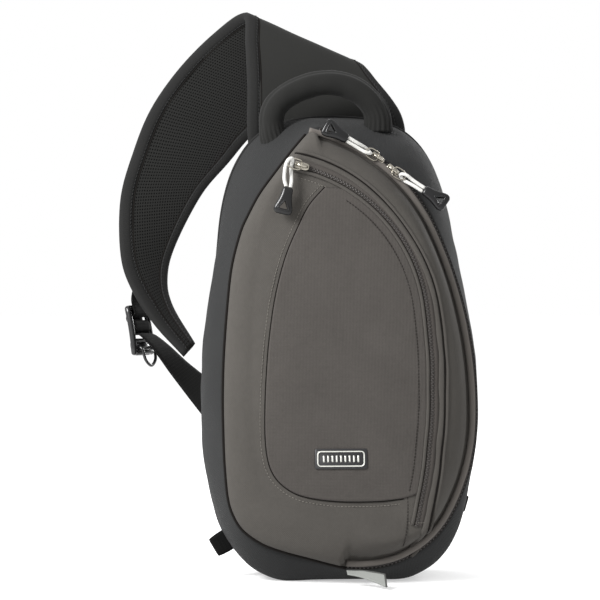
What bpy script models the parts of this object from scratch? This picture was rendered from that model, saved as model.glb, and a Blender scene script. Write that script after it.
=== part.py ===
"""One-shoulder sling camera bag: soft shell, opening front flap, zips with pulls, grab handle, shoulder strap."""
import math
import bpy
import bmesh
import numpy as np
from mathutils import Matrix, Vector

# ---------------------------------------------------------------- driving dimensions (millimetres)
MM = 0.001
FRONT_TILT = math.radians(4.0)
FRONT_Y = -50.0
BACK_Y = 50.0
CENTRE = (0.0, 190.0)
WALL = 5.0
LID_THICK = 5.0
RIM_LOW = -1.2
GUSSET_FRONT = -1.8
BACK_THICK = 8.0
GAP = 0.3

ZIP_START = (-20.5, 388.9)
ZIP_HEADING = math.radians(-14.85)
ZIP_ARCS = ((151.6, 49.9), (369.8, 26.5), (178.5, 28.5), (87.3, 70.6))
COIL_INSET = 2.5
WELT_INSET = 8.0
LID_INSET = 10.3

POCKET_START = (-46.0, 354.4)
POCKET_HEADING = math.radians(-11.0)
POCKET_ARCS = ((138.4, 71.5), (504.4, 21.4))
POCKET_BASE_N = 18.0
POCKET_SLOPE = 0.098
POCKET_REF_U = -45.0
DOME = 4.0

HINGE_FOOT = (28.0, 14.0)
HINGE_HEAD = (8.0, 391.0)
HINGE_N = 33.5
HINGE_GAP = 0.8

LEFT_SEAM = (
    (-20.5, 392.0), (-30.0, 386.0), (-43.3, 371.0), (-58.0, 352.0), (-72.7, 332.0), (-83.0, 313.0),
    (-89.5, 298.0), (-96.8, 270.0), (-100.6, 239.0), (-104.0, 196.0), (-105.2, 157.0), (-104.6, 120.0),
    (-103.6, 98.0), (-101.0, 72.0), (-96.0, 57.0), (-88.0, 45.5), (-72.8, 34.8), (-55.0, 28.0),
    (-35.0, 22.5), (-15.0, 17.0), (-1.9, 13.8),
)
CROWN_LEFT = (
    (-44.0, 358.5), (-53.0, 345.5), (-62.0, 330.0), (-70.0, 305.0), (-76.0, 275.0), (-80.0, 240.0),
    (-82.0, 200.0), (-82.5, 160.0), (-81.0, 125.0), (-78.0, 98.0), (-70.0, 76.0), (-54.0, 60.0),
    (-34.0, 50.0), (-8.0, 44.0), (22.0, 41.0), (44.0, 42.0), (58.0, 46.0),
)
PANEL_LEFT = (
    (-19.5, 335.0), (-33.0, 319.5), (-43.0, 300.0), (-52.0, 279.0), (-58.5, 257.0), (-63.5, 233.0),
    (-67.5, 203.0), (-69.8, 174.0), (-71.0, 141.0), (-70.0, 113.0), (-65.0, 94.5), (-54.0, 82.0),
    (-38.0, 74.5), (-10.0, 70.5), (23.0, 70.5), (44.0, 72.5),
)
BACK_HALF = (
    (0.0, 403.0), (22.0, 402.0), (42.0, 398.5), (60.0, 391.5), (74.0, 380.0), (84.0, 366.0), (91.5, 350.0),
    (97.0, 331.0), (100.5, 311.0), (103.0, 285.0), (105.5, 255.0), (109.0, 225.0), (112.5, 195.0),
    (114.5, 165.0), (115.0, 135.0), (114.5, 110.0), (111.5, 85.0), (105.5, 58.0), (96.0, 35.0),
    (82.0, 16.0), (66.0, 5.0), (50.0, 0.0), (25.0, 0.0), (0.0, 0.0),
)

STRAP_SECTIONS = (
    ((-75.0, 63.2, 378.0), (65.0, 63.2, 380.0)),
    ((-76.0, 63.2, 400.0), (65.0, 63.2, 396.0)),
    ((-75.5, 66.0, 430.0), (59.0, 64.0, 413.0)),
    ((-76.5, 76.0, 471.0), (43.0, 70.0, 435.0)),
    ((-78.0, 92.0, 499.0), (26.0, 84.0, 452.0)),
    ((-104.0, 116.0, 483.0), (-6.0, 104.0, 444.0)),
    ((-134.0, 134.0, 453.0), (-38.0, 124.0, 420.0)),
    ((-159.0, 144.0, 417.0), (-68.0, 138.0, 392.0)),
    ((-175.0, 146.0, 378.0), (-88.0, 144.0, 368.0)),
    ((-187.0, 140.0, 334.0), (-113.0, 146.0, 338.0)),
    ((-187.0, 128.0, 282.0), (-137.0, 144.0, 292.0)),
    ((-177.0, 117.0, 250.0), (-145.0, 137.0, 262.0)),
    ((-157.0, 106.0, 219.0), (-141.0, 126.0, 235.0)),
    ((-131.0, 97.0, 190.0), (-121.0, 108.0, 200.0)),
)
STRAP_HALF = 4.0
HANDLE_PATH = (
    (-60.5, 20.0, 393.0), (-62.0, 20.0, 402.0), (-57.0, 20.0, 412.0), (-47.0, 20.0, 420.0),
    (-32.0, 20.0, 427.5), (-14.0, 20.0, 431.5), (3.0, 20.0, 429.5), (17.0, 20.0, 421.5),
    (26.5, 20.0, 411.0), (30.0, 20.0, 401.0),
)
HANDLE_RADIUS = 10.0
HANDLE_CORE = 6.0


# ---------------------------------------------------------------- scene preparation
for old in list(bpy.data.objects):
    bpy.data.objects.remove(old, do_unlink=True)

parts = bpy.data.collections.new("sling_camera_bag")
bpy.context.scene.collection.children.link(parts)
cutters = bpy.data.collections.new("cutters")
bpy.context.scene.collection.children.link(cutters)
cutters.hide_render = True


def material(name, colour, roughness, metallic=0.0):
    mat = bpy.data.materials.new(name)
    mat.use_nodes = True
    shader = mat.node_tree.nodes["Principled BSDF"]
    shader.inputs["Base Color"].default_value = (*colour, 1.0)
    shader.inputs["Roughness"].default_value = roughness
    shader.inputs["Metallic"].default_value = metallic
    mat.diffuse_color = (*colour, 1.0)
    return mat


TAUPE = ("taupe_nylon", (0.13, 0.115, 0.10), 0.85, 0.0)
TAUPE_DARK = ("taupe_pocket", (0.10, 0.09, 0.08), 0.85, 0.0)
BLACK = ("black_nylon", (0.03, 0.03, 0.032), 0.85, 0.0)
STRAP_CLOTH = ("strap_cloth", (0.045, 0.045, 0.045), 0.9, 0.0)
MESH = ("spacer_mesh", (0.02, 0.02, 0.02), 0.95, 0.0)
LINING = ("grey_lining", (0.22, 0.22, 0.23), 0.9, 0.0)
WEBBING = ("black_webbing", (0.018, 0.018, 0.018), 0.8, 0.0)
PLASTIC = ("black_plastic", (0.015, 0.015, 0.016), 0.35, 0.0)
TOGGLE = ("toggle_rubber", (0.03, 0.03, 0.03), 0.55, 0.0)
COIL = ("zip_coil", (0.025, 0.02, 0.02), 0.5, 0.0)
WELT = ("welt_binding", (0.22, 0.18, 0.155), 0.8, 0.0)
METAL = ("nickel", (0.62, 0.58, 0.5), 0.3, 1.0)
CORD = ("white_cord", (0.82, 0.82, 0.8), 0.8, 0.0)
SILVER = ("silver_ribbon", (0.48, 0.49, 0.47), 0.45, 0.0)
BADGE = ("badge_black", (0.02, 0.02, 0.022), 0.5, 0.0)


def lid(u, v, n):
    """World point (metres) for lid coordinates: across, up the lid, outward."""
    y = FRONT_Y + v * math.sin(FRONT_TILT) - n * math.cos(FRONT_TILT)
    z = v * math.cos(FRONT_TILT) + n * math.sin(FRONT_TILT)
    return Vector((u * MM, y * MM, z * MM))


def lid_matrix(origin, along, outward=(0.0, 0.0, 1.0)):
    """World frame whose X runs along a lid direction and Z points out of the lid."""
    base = lid(0.0, 0.0, 0.0)
    z_axis = (lid(*outward) - base).normalized()
    x_axis = (lid(*along) - base).normalized()
    x_axis = (x_axis - z_axis * x_axis.dot(z_axis)).normalized()
    y_axis = z_axis.cross(x_axis)
    rot = Matrix((x_axis, y_axis, z_axis)).transposed()
    return Matrix.Translation(lid(*origin)) @ rot.to_4x4()


# ---------------------------------------------------------------- plane curves
def spline(points, per_span=8, closed=False):
    """Catmull-Rom curve through the points."""
    pts = [np.array(p, float) for p in points]
    count = len(pts)
    out = []
    spans = count if closed else count - 1
    for i in range(spans):
        b = pts[i]
        c = pts[(i + 1) % count]
        a = pts[(i - 1) % count] if closed or i > 0 else 2 * b - c
        d = pts[(i + 2) % count] if closed or i < spans - 1 else 2 * c - b
        for k in range(per_span):
            t = k / per_span
            out.append(0.5 * (2 * b + (c - a) * t + (2 * a - 5 * b + 4 * c - d) * t * t
                              + (3 * b - a - 3 * c + d) * t ** 3))
    if not closed:
        out.append(pts[-1])
    return np.array(out)


def arc_chain(start, heading, arcs, inset=0.0, step=3.0):
    """Clockwise chain of arcs, moved inward by inset."""
    u, v = start
    h = heading
    out = [(u + inset * math.sin(h), v - inset * math.cos(h))]
    for radius, sweep in arcs:
        cu = u + radius * math.sin(h)
        cv = v - radius * math.cos(h)
        total = math.radians(sweep)
        steps = max(4, int(radius * total / step))
        for k in range(1, steps + 1):
            hk = h - total * k / steps
            out.append((cu - (radius - inset) * math.sin(hk), cv + (radius - inset) * math.cos(hk)))
        h -= total
        u = cu - radius * math.sin(h)
        v = cv + radius * math.cos(h)
    return np.array(out)


def arc_centre(start, heading, radius):
    return (start[0] + radius * math.sin(heading), start[1] - radius * math.cos(heading))


class Polar:
    """Closed outline stored as radius against angle about a centre."""

    def __init__(self, loop, centre):
        rel = np.array(loop) - np.array(centre)
        ang = np.unwrap(np.arctan2(rel[:, 1], rel[:, 0]))
        rad = np.hypot(rel[:, 0], rel[:, 1])
        if ang[-1] < ang[0]:
            ang = ang[::-1]
            rad = rad[::-1]
        self.ang = np.concatenate((ang - 2 * np.pi, ang, ang + 2 * np.pi))
        self.rad = np.concatenate((rad, rad, rad))
        self.centre = centre

    def r(self, theta):
        lo = self.ang[len(self.ang) // 3]
        t = lo + (theta - lo) % (2 * np.pi)
        return float(np.interp(t, self.ang, self.rad))

    def point(self, theta, extra=0.0):
        r = self.r(theta) + extra
        return (self.centre[0] + r * math.cos(theta), self.centre[1] + r * math.sin(theta))


seam_left = spline(LEFT_SEAM, 6)
front_loop = np.vstack((arc_chain(ZIP_START, ZIP_HEADING, ZIP_ARCS), seam_left[::-1][1:-1]))
FRONT = Polar(front_loop, CENTRE)
rel = seam_left - np.array(CENTRE)
seam_in = np.array(CENTRE) + rel * (1.0 - 0.6 / np.hypot(rel[:, 0], rel[:, 1])[:, None])
lid_loop = np.vstack((arc_chain(ZIP_START, ZIP_HEADING, ZIP_ARCS, LID_INSET), seam_in[::-1][3:-4]))
LID = Polar(lid_loop, CENTRE)
half = spline(BACK_HALF, 6)
back_loop = np.vstack((half, [(-p[0], p[1]) for p in half[::-1][1:-1]]))
BACK = Polar(back_loop, CENTRE)
crown_right = arc_chain(POCKET_START, POCKET_HEADING, POCKET_ARCS, -11.0)
crown_loop = np.vstack((crown_right[3:], spline(CROWN_LEFT, 5)[::-1]))
CROWN = Polar(crown_loop, CENTRE)


def crown(u, v):
    """Height of the lid surface above the seam plane."""
    du = u - CENTRE[0]
    dv = v - CENTRE[1]
    theta = math.atan2(dv, du)
    r = math.hypot(du, dv)
    inner = CROWN.r(theta)
    outer = max(LID.r(theta), inner + 4.0)
    if r <= inner:
        plateau = POCKET_BASE_N + POCKET_SLOPE * (u - POCKET_REF_U)
        return plateau + DOME * (1.0 - (r / inner) ** 4) - 0.6
    edge_u = CENTRE[0] + inner * math.cos(theta)
    plateau = POCKET_BASE_N + POCKET_SLOPE * (edge_u - POCKET_REF_U) - 0.6
    t = min(1.0, (r - inner) / (outer - inner))
    return 0.8 + (plateau - 0.8) * math.sqrt(max(0.0, 1.0 - t ** 1.7))


def hinge_u(v):
    share = (v - HINGE_FOOT[1]) / (HINGE_HEAD[1] - HINGE_FOOT[1])
    return HINGE_FOOT[0] + (HINGE_HEAD[0] - HINGE_FOOT[0]) * share


def clip(loop, side, gap):
    """Part of a closed loop left (side -1) or right (side 1) of the hinge line."""
    out = []
    count = len(loop)
    for i in range(count):
        a = loop[i]
        b = loop[(i + 1) % count]
        fa = side * (a[0] - hinge_u(a[1])) - gap
        fb = side * (b[0] - hinge_u(b[1])) - gap
        if fa >= 0:
            out.append(a)
        if fa * fb < 0:
            t = fa / (fa - fb)
            out.append(a + (b - a) * t)
    return np.array(out)


def clean(loop, least=1.0):
    out = [loop[0]]
    for p in loop[1:]:
        if np.hypot(*(p - out[-1])) > least:
            out.append(p)
    if np.hypot(*(out[0] - out[-1])) < least:
        out.pop()
    return np.array(out)


def resample(loop, count):
    """Equal steps round a closed loop, keeping sharp corners as they are."""
    nxt = np.roll(loop, -1, axis=0)
    seg = np.hypot(*(nxt - loop).T)
    s = np.concatenate(([0.0], np.cumsum(seg)))
    closed = np.vstack((loop, loop[:1]))
    t = np.linspace(0.0, s[-1], count, endpoint=False)
    prev = np.roll(loop, 1, axis=0)
    turn = np.abs(np.cross(loop - prev, nxt - loop)) / (np.hypot(*(loop - prev).T) * seg + 1e-9)
    for i in np.where(turn > 0.45)[0]:
        near = int(np.argmin(np.abs(t - s[i])))
        t[near] = s[i]
    t = np.sort(t)
    return np.stack((np.interp(t, s, closed[:, 0]), np.interp(t, s, closed[:, 1])), axis=1)


# ---------------------------------------------------------------- mesh makers
def finish(name, mesh, mat, smooth=True, parent=None, bevel=0.0, segments=2):
    if mat[0] in bpy.data.materials:
        used = bpy.data.materials[mat[0]]
    else:
        used = material(*mat)
    mesh.name = name
    if not mesh.materials:
        mesh.materials.append(used)
    obj = bpy.data.objects.new(name, mesh)
    parts.objects.link(obj)
    for poly in mesh.polygons:
        poly.use_smooth = smooth
    if bevel > 0.0:
        mod = obj.modifiers.new("edge", "BEVEL")
        mod.width = bevel
        mod.segments = segments
        mod.limit_method = "ANGLE"
        mod.angle_limit = math.radians(40)
    if parent is not None:
        obj.parent = parent
        obj.matrix_parent_inverse = parent.matrix_world.inverted()
    return obj


def body_from(verts, faces):
    mesh = bpy.data.meshes.new("body")
    mesh.from_pydata([tuple(v) for v in verts], [], faces)
    bm = bmesh.new()
    bm.from_mesh(mesh)
    bmesh.ops.remove_doubles(bm, verts=bm.verts, dist=1e-6)
    bmesh.ops.recalc_face_normals(bm, faces=bm.faces)
    if bm.calc_volume(signed=True) < 0:
        bmesh.ops.reverse_faces(bm, faces=bm.faces)
    bm.to_mesh(mesh)
    bm.free()
    return mesh


def loft(rings, closed_ring=True, caps=True):
    """Closed body through rings of equal length."""
    verts = []
    faces = []
    n = len(rings[0])
    for ring in rings:
        verts.extend(ring)
    for i in range(len(rings) - 1):
        for k in range(n):
            a = i * n + k
            b = i * n + (k + 1) % n
            faces.append((a, b, b + n, a + n))
    if caps:
        faces.append(tuple(range(n))[::-1])
        faces.append(tuple(range((len(rings) - 1) * n, len(rings) * n)))
    return body_from(verts, faces)


def torus_loft(rings):
    """Closed body through rings that come back to the first."""
    verts = []
    faces = []
    n = len(rings[0])
    m = len(rings)
    for ring in rings:
        verts.extend(ring)
    for i in range(m):
        for k in range(n):
            a = i * n + k
            b = i * n + (k + 1) % n
            c = ((i + 1) % m) * n
            faces.append((a, b, c + (k + 1) % n, c + k))
    return body_from(verts, faces)


def draped(loop, lift, thick, rings=4, count=72, rim_shrink=7.0, flat_rim=True):
    """Panel that follows the lid surface, with an explicit under surface."""
    ring_uv = resample(clean(loop), count)
    mid = ring_uv.mean(axis=0)
    top = []
    low = []
    shares = [1.0, 0.955, 0.90] + list(np.linspace(0.80, 0.22, rings))
    for s in shares:
        top.append([(mid + (p - mid) * s) for p in ring_uv])
    verts = []
    for ring in top:
        for p in ring:
            verts.append(lid(p[0], p[1], crown(p[0], p[1]) + lift))
    verts.append(lid(mid[0], mid[1], crown(mid[0], mid[1]) + lift))
    top_centre = len(verts) - 1
    base = len(verts)
    for i, ring in enumerate(top):
        for p in ring:
            h = crown(p[0], p[1]) + lift - thick
            q = p
            if flat_rim:
                away = p - mid
                size = math.hypot(*away)
                shift = rim_shrink * (1.0 - 0.85 * min(1.0, 1.25 * (1.0 - shares[i]))) if i > 0 else 0.0
                q = mid + away * max(0.1, (size - shift) / size)
                h = RIM_LOW if i == 0 else max(h, RIM_LOW)
            verts.append(lid(q[0], q[1], h))
    verts.append(lid(mid[0], mid[1], crown(mid[0], mid[1]) + lift - thick))
    low_centre = len(verts) - 1
    faces = []
    m = len(top)
    for i in range(m - 1):
        for k in range(count):
            a = i * count + k
            b = i * count + (k + 1) % count
            faces.append((a, b, b + count, a + count))
            faces.append((base + a, base + a + count, base + b + count, base + b))
    last = (m - 1) * count
    for k in range(count):
        a = last + k
        b = last + (k + 1) % count
        faces.append((a, b, top_centre))
        faces.append((base + a, low_centre, base + b))
        faces.append((k, base + k, base + (k + 1) % count, (k + 1) % count))
    return body_from(verts, faces)


def strip(path, half_width, low, high, height):
    """Flat tape along a lid path; height gives the level under it."""
    rings = []
    count = len(path)
    for i in range(count):
        a = path[max(0, i - 1)]
        b = path[min(count - 1, i + 1)]
        t = (b - a) / np.hypot(*(b - a))
        side = np.array((-t[1], t[0]))
        ring = []
        for sw, sh in ((-1, low), (1, low), (1, high), (-1, high)):
            p = path[i] + side * sw * half_width
            ring.append(lid(p[0], p[1], height(path[i][0], path[i][1]) + sh))
        rings.append(ring)
    return loft(rings)


def rod(path, radius, height, lift, sides=6):
    """Round piping along a lid path."""
    rings = []
    count = len(path)
    out = (lid(0, 0, 1) - lid(0, 0, 0)).normalized()
    for i in range(count):
        a = path[max(0, i - 1)]
        b = path[min(count - 1, i + 1)]
        ha = height(a[0], a[1])
        hb = height(b[0], b[1])
        t = (lid(b[0], b[1], hb) - lid(a[0], a[1], ha)).normalized()
        side = t.cross(out).normalized()
        up = side.cross(t).normalized()
        centre = lid(path[i][0], path[i][1], height(path[i][0], path[i][1]) + lift)
        ring = []
        for k in range(sides):
            ang = 2 * math.pi * (k + 0.5) / sides
            ring.append(centre + (side * math.cos(ang) + up * math.sin(ang)) * radius * MM)
        rings.append(ring)
    return loft(rings)


def box_mesh(size, centre=(0.0, 0.0, 0.0), matrix=None):
    bm = bmesh.new()
    bmesh.ops.create_cube(bm, size=1.0)
    bmesh.ops.scale(bm, vec=[s * MM for s in size], verts=bm.verts)
    bmesh.ops.translate(bm, vec=[c * MM for c in centre], verts=bm.verts)
    if matrix is not None:
        bmesh.ops.transform(bm, matrix=matrix, verts=bm.verts)
    mesh = bpy.data.meshes.new("box")
    bm.to_mesh(mesh)
    bm.free()
    return mesh


def tube_mesh(points, radius, closed=False, sides=10, squash=1.0):
    """Round bar through world points given in metres."""
    rings = []
    count = len(points)
    prev = None
    for i in range(count):
        if closed:
            t = (points[(i + 1) % count] - points[i - 1]).normalized()
        else:
            t = (points[min(count - 1, i + 1)] - points[max(0, i - 1)]).normalized()
        if prev is None:
            ref = Vector((0, 1, 0)) if abs(t.y) < 0.9 else Vector((1, 0, 0))
            side = t.cross(ref).normalized()
        else:
            side = (prev - t * prev.dot(t)).normalized()
        prev = side
        up = t.cross(side)
        r = radius[i] if hasattr(radius, "__len__") else radius
        ring = []
        for k in range(sides):
            ang = 2 * math.pi * k / sides
            ring.append(points[i] + (side * math.cos(ang) + up * math.sin(ang) * squash) * r)
        rings.append(ring)
    if closed:
        return torus_loft(rings)
    return loft(rings)


def empty(name, matrix):
    node = bpy.data.objects.new(name, None)
    node.matrix_world = matrix
    parts.objects.link(node)
    return node


def cut(obj, mesh, name):
    """Boolean difference with a hidden cutter."""
    tool = bpy.data.objects.new(name, mesh)
    cutters.objects.link(tool)
    tool.display_type = "WIRE"
    tool.hide_render = True
    mod = obj.modifiers.new(name, "BOOLEAN")
    mod.operation = "DIFFERENCE"
    mod.solver = "EXACT"
    mod.object = tool
    return tool


# ---------------------------------------------------------------- gusset, yoke and base
def gusset_point(theta, s, inward):
    """Point of the side wall: s runs from the front seam to the back edge."""
    fu, fv = FRONT.point(theta, -inward)
    bu, bv = BACK.point(theta, -inward)
    front = lid(fu, fv, GUSSET_FRONT)
    back = Vector((bu * MM, BACK_Y * MM, bv * MM))
    ease = 1.0 - (1.0 - s) ** 1.7
    low = min(1.0, max(0.0, (-math.sin(theta) - 0.55) / 0.35))
    drop = 1.0 - max(0.0, 1.0 - s / 0.34) ** 1.6
    ease += (drop - ease) * low * low * (3.0 - 2.0 * low)
    p = front.lerp(back, s)
    p.x = front.x + (back.x - front.x) * ease
    p.z = front.z + (back.z - front.z) * ease
    level = math.sin(theta)
    side = max(0.0, 1.0 - abs(level) ** 3)
    bulge = (9.0 if math.cos(theta) < 0 else 6.0) * side * math.sin(math.pi * s) ** 0.9
    p.x += bulge * math.cos(theta) * MM
    p.z += bulge * level * MM
    return p


def gusset(lo, hi, steps, spans=6):
    """Curved wall between two angles, thickness WALL."""
    rings = []
    for i in range(steps + 1):
        theta = lo + (hi - lo) * i / steps
        ring = [gusset_point(theta, k / spans, 0.0) for k in range(spans + 1)]
        ring += [gusset_point(theta, k / spans, WALL) for k in range(spans, -1, -1)]
        rings.append(ring)
    return loft(rings)


def deg(value):
    return math.radians(value)


SPLIT_YOKE_LEFT = 122.0
SPLIT_YOKE_RIGHT = 66.0
SPLIT_BASE_LEFT = 252.0
SPLIT_BASE_RIGHT = 288.0
SPLIT_GAP = 0.09
finish("top_yoke", gusset(deg(SPLIT_YOKE_RIGHT + SPLIT_GAP), deg(SPLIT_YOKE_LEFT - SPLIT_GAP), 16), BLACK)
finish("gusset_left", gusset(deg(SPLIT_YOKE_LEFT), deg(SPLIT_BASE_LEFT - SPLIT_GAP), 34), BLACK)
finish("base_panel", gusset(deg(SPLIT_BASE_LEFT), deg(SPLIT_BASE_RIGHT), 10), BLACK)
finish("gusset_right", gusset(deg(SPLIT_BASE_RIGHT + SPLIT_GAP), deg(SPLIT_YOKE_RIGHT + 360.0), 36), BLACK)


def flat_plate(loop, y0, y1, inset_edge=0.0):
    """Plate parallel to the back with a softened rim."""
    depth = y1 - y0
    levels = ((0.0, inset_edge), (0.3, inset_edge * 0.25), (0.7, 0.0), (1.0, inset_edge))
    rings = []
    mid = loop.mean(axis=0)
    for share, inset in levels:
        ring = []
        for p in loop:
            away = p - mid
            size = math.hypot(*away)
            q = mid + away * (size - inset) / size
            ring.append(Vector((q[0] * MM, (y0 + depth * share) * MM, q[1] * MM)))
        rings.append(ring)
    return loft(rings)


back_ring = resample(back_loop, 60)
finish("back_panel", flat_plate(back_ring, BACK_Y + GAP, BACK_Y + BACK_THICK, 2.5), BLACK)
mid_back = back_ring.mean(axis=0)
sheet_ring = mid_back + (back_ring - mid_back) * 0.86
finish("frame_sheet", flat_plate(sheet_ring, BACK_Y - 3.2, BACK_Y - 0.2, 0.4), LINING)


def pad(name, centre, size, mat=MESH):
    """Back cushion: rounded slab standing on the back panel."""
    cx, cz = centre
    w, h, d = size
    loop = []
    for k in range(48):
        ang = 2 * math.pi * k / 48
        c = math.cos(ang)
        s = math.sin(ang)
        e = 0.45
        loop.append((cx + w / 2 * math.copysign(abs(c) ** e, c), cz + h / 2 * math.copysign(abs(s) ** e, s)))
    loop = np.array(loop)
    y0 = BACK_Y + BACK_THICK + GAP
    rings = []
    for share, inset in ((0.0, 0.0), (0.45, 0.0), (0.8, 4.0), (1.0, 10.0)):
        mid = loop.mean(axis=0)
        ring = []
        for p in loop:
            away = p - mid
            size_now = math.hypot(*away)
            q = mid + away * (size_now - inset) / size_now
            ring.append(Vector((q[0] * MM, (y0 + d * share) * MM, q[1] * MM)))
        rings.append(ring)
    return finish(name, loft(rings), mat)


pad("back_pad_left", (-47.0, 268.0), (78.0, 120.0, 11.0))
pad("back_pad_right", (47.0, 268.0), (78.0, 120.0, 11.0))
pad("lumbar_pad", (0.0, 108.0), (146.0, 110.0, 13.0))

# ---------------------------------------------------------------- inside dividers
for name, size, centre in (
    ("divider_upper", (170.0, 66.0, 7.0), (0.0, 9.0, 262.0)),
    ("divider_lower", (182.0, 66.0, 7.0), (0.0, 9.0, 128.0)),
    ("divider_upright", (7.0, 66.0, 126.0), (8.0, 9.0, 195.0)),
):
    finish(name, box_mesh(size, centre), LINING, bevel=2.0 * MM)

# ---------------------------------------------------------------- front lid, fixed and opening parts
LID_LOOP = lid_loop


def relieved(loop):
    """Opening part stands further from the zip near the fold, where the fold turns it outward."""
    out = []
    for p in loop:
        reach = p[0] - hinge_u(p[1])
        extra = 8.5 * max(0.0, 1.0 - reach / 34.0) if reach > 0 else 0.0
        away = p - np.array(CENTRE)
        size = math.hypot(*away)
        out.append(np.array(CENTRE) + away * (size - extra) / size)
    return np.array(out)


hinge_mid = lid((HINGE_FOOT[0] + HINGE_HEAD[0]) / 2, (HINGE_FOOT[1] + HINGE_HEAD[1]) / 2, HINGE_N)
hinge_dir = (HINGE_HEAD[0] - HINGE_FOOT[0], HINGE_HEAD[1] - HINGE_FOOT[1], 0.0)
flap_joint = empty("flap_axis", lid_matrix(
    ((HINGE_FOOT[0] + HINGE_HEAD[0]) / 2, (HINGE_FOOT[1] + HINGE_HEAD[1]) / 2, HINGE_N), hinge_dir))
bpy.context.view_layer.update()

fixed_loop = clip(LID_LOOP, -1, HINGE_GAP / 2)
flap_loop = relieved(clip(LID_LOOP, 1, HINGE_GAP / 2))
flap_loop = clip(flap_loop, 1, HINGE_GAP / 2)
finish("front_panel_fixed", draped(fixed_loop, 0.0, LID_THICK, count=64), TAUPE)
finish("front_flap", draped(flap_loop, 0.0, LID_THICK, count=64), TAUPE, parent=flap_joint)

face_right = arc_chain(POCKET_START, POCKET_HEADING, POCKET_ARCS, 8.5)
keep = [p for p in face_right if p[0] > -7.0 and p[1] > 75.0]
face_loop = np.vstack((np.array(keep), spline(PANEL_LEFT, 4)[::-1]))
FACE_LIFT = 2.1
FACE_THICK = 1.8
finish("pocket_face_fixed", draped(clip(face_loop, -1, HINGE_GAP / 2), FACE_LIFT, FACE_THICK,
                                   count=44, rings=3, flat_rim=False), TAUPE_DARK)
finish("pocket_face_flap", draped(clip(face_loop, 1, HINGE_GAP / 2), FACE_LIFT, FACE_THICK,
                                  count=44, rings=3, flat_rim=False), TAUPE_DARK, parent=flap_joint)


# ---------------------------------------------------------------- main zip
def level(value):
    return lambda u, v: value


main_coil = arc_chain(ZIP_START, ZIP_HEADING, ZIP_ARCS, COIL_INSET, step=9.0)
main_tape = arc_chain(ZIP_START, ZIP_HEADING, ZIP_ARCS, COIL_INSET + 0.3, step=9.0)
finish("main_zip_tape", strip(main_tape, 2.9, -1.5, -0.7, level(0.0)), COIL)
finish("main_zip_coil", strip(main_coil, 2.1, -0.4, 1.0, level(0.0)), COIL)


def part_of(path, side, gap):
    return np.array([p for p in path if side * (p[0] - hinge_u(p[1])) > gap])


welt_path = arc_chain(ZIP_START, ZIP_HEADING, ZIP_ARCS, WELT_INSET, step=8.0)[1:]
upper = np.array([p for p in welt_path if p[1] > 200.0])
welt_fixed = part_of(upper, -1, 1.2)
welt_flap = np.array([p for p in welt_path if p[0] - hinge_u(p[1]) > 34.0])
welt_low = np.array([p for p in part_of(welt_path, -1, 1.2) if p[1] < 100.0])
finish("welt_fixed_top", rod(welt_fixed, 1.9, level(0.0), 3.0), WELT)
finish("welt_flap", rod(welt_flap, 1.9, level(0.0), 3.0), WELT, parent=flap_joint)
finish("welt_fixed_base", rod(welt_low, 1.9, level(0.0), 3.0), WELT)

# ---------------------------------------------------------------- pocket zip
pocket_path = arc_chain(POCKET_START, POCKET_HEADING, POCKET_ARCS, 0.0, step=8.0)


def smooth_crown(u, v):
    return crown(u, v) + 0.35


for tag, side, parent in (("fixed", -1, None), ("flap", 1, flap_joint)):
    path = part_of(pocket_path, side, 1.0)
    finish("pocket_zip_tape_" + tag, strip(path, 4.6, 0.25, 1.0, smooth_crown), COIL, parent=parent)
    finish("pocket_zip_coil_" + tag, strip(path, 1.9, 1.3, 2.4, smooth_crown), COIL, parent=parent)
    inner = part_of(arc_chain(POCKET_START, POCKET_HEADING, POCKET_ARCS, 6.6, step=8.0), side, 1.0)
    finish("pocket_welt_" + tag, rod(inner, 1.4, smooth_crown, 1.9), WELT, parent=parent)

# ---------------------------------------------------------------- plain badge on the pocket face
BADGE_SIZE = (44.0, 17.0)
badge_at = (-8.5, 106.0)


def badge_parent(u):
    return u > hinge_u(badge_at[1])


badge_n = max(crown(badge_at[0] + a, badge_at[1] + b) for a in (-22, 0, 22) for b in (-8, 8)) + FACE_LIFT + 0.3
badge_slope = (crown(badge_at[0] + 20, badge_at[1]) - crown(badge_at[0] - 20, badge_at[1])) / 40.0
badge_matrix = lid_matrix((badge_at[0], badge_at[1], crown(*badge_at) + FACE_LIFT + 0.75),
                          (1.0, 0.0, badge_slope), (-badge_slope, 0.0, 1.0))
finish("badge_patch", box_mesh((BADGE_SIZE[0], BADGE_SIZE[1], 0.8), (0, 0, 0.0), badge_matrix), BADGE,
       bevel=0.2 * MM, segments=1)
frame_obj = finish("badge_frame", box_mesh((40.0, 13.5, 0.6), (0, 0, 1.0), badge_matrix), METAL)
cut(frame_obj, box_mesh((36.8, 10.3, 3.0), (0, 0, 1.0), badge_matrix), "badge_frame_hole")


# ---------------------------------------------------------------- zip pulls
SLIDER_WIDTH = 6.8
CORD_RADIUS = 1.42


def straight_cord(start, length):
    """Cord folded through the eye of the bail, both ends going straight to the toggle."""
    tail = start + length
    points = [(tail, 2.2, 1.2), (start + 6.0, 2.2, 1.6), (start + 2.0, 2.1, 2.9)]
    points += [(start - 1.0, 1.6, 3.0), (start - 3.0, 0.6, 2.4), (start - 3.6, 0.0, 0.4)]
    points += [(start - 3.0, -0.6, -1.4), (start - 0.6, -1.6, -2.2), (start + 2.0, -2.1, -1.9)]
    points += [(start + 6.0, -2.2, -0.4), (tail, -2.2, 1.2)]
    return points


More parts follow.
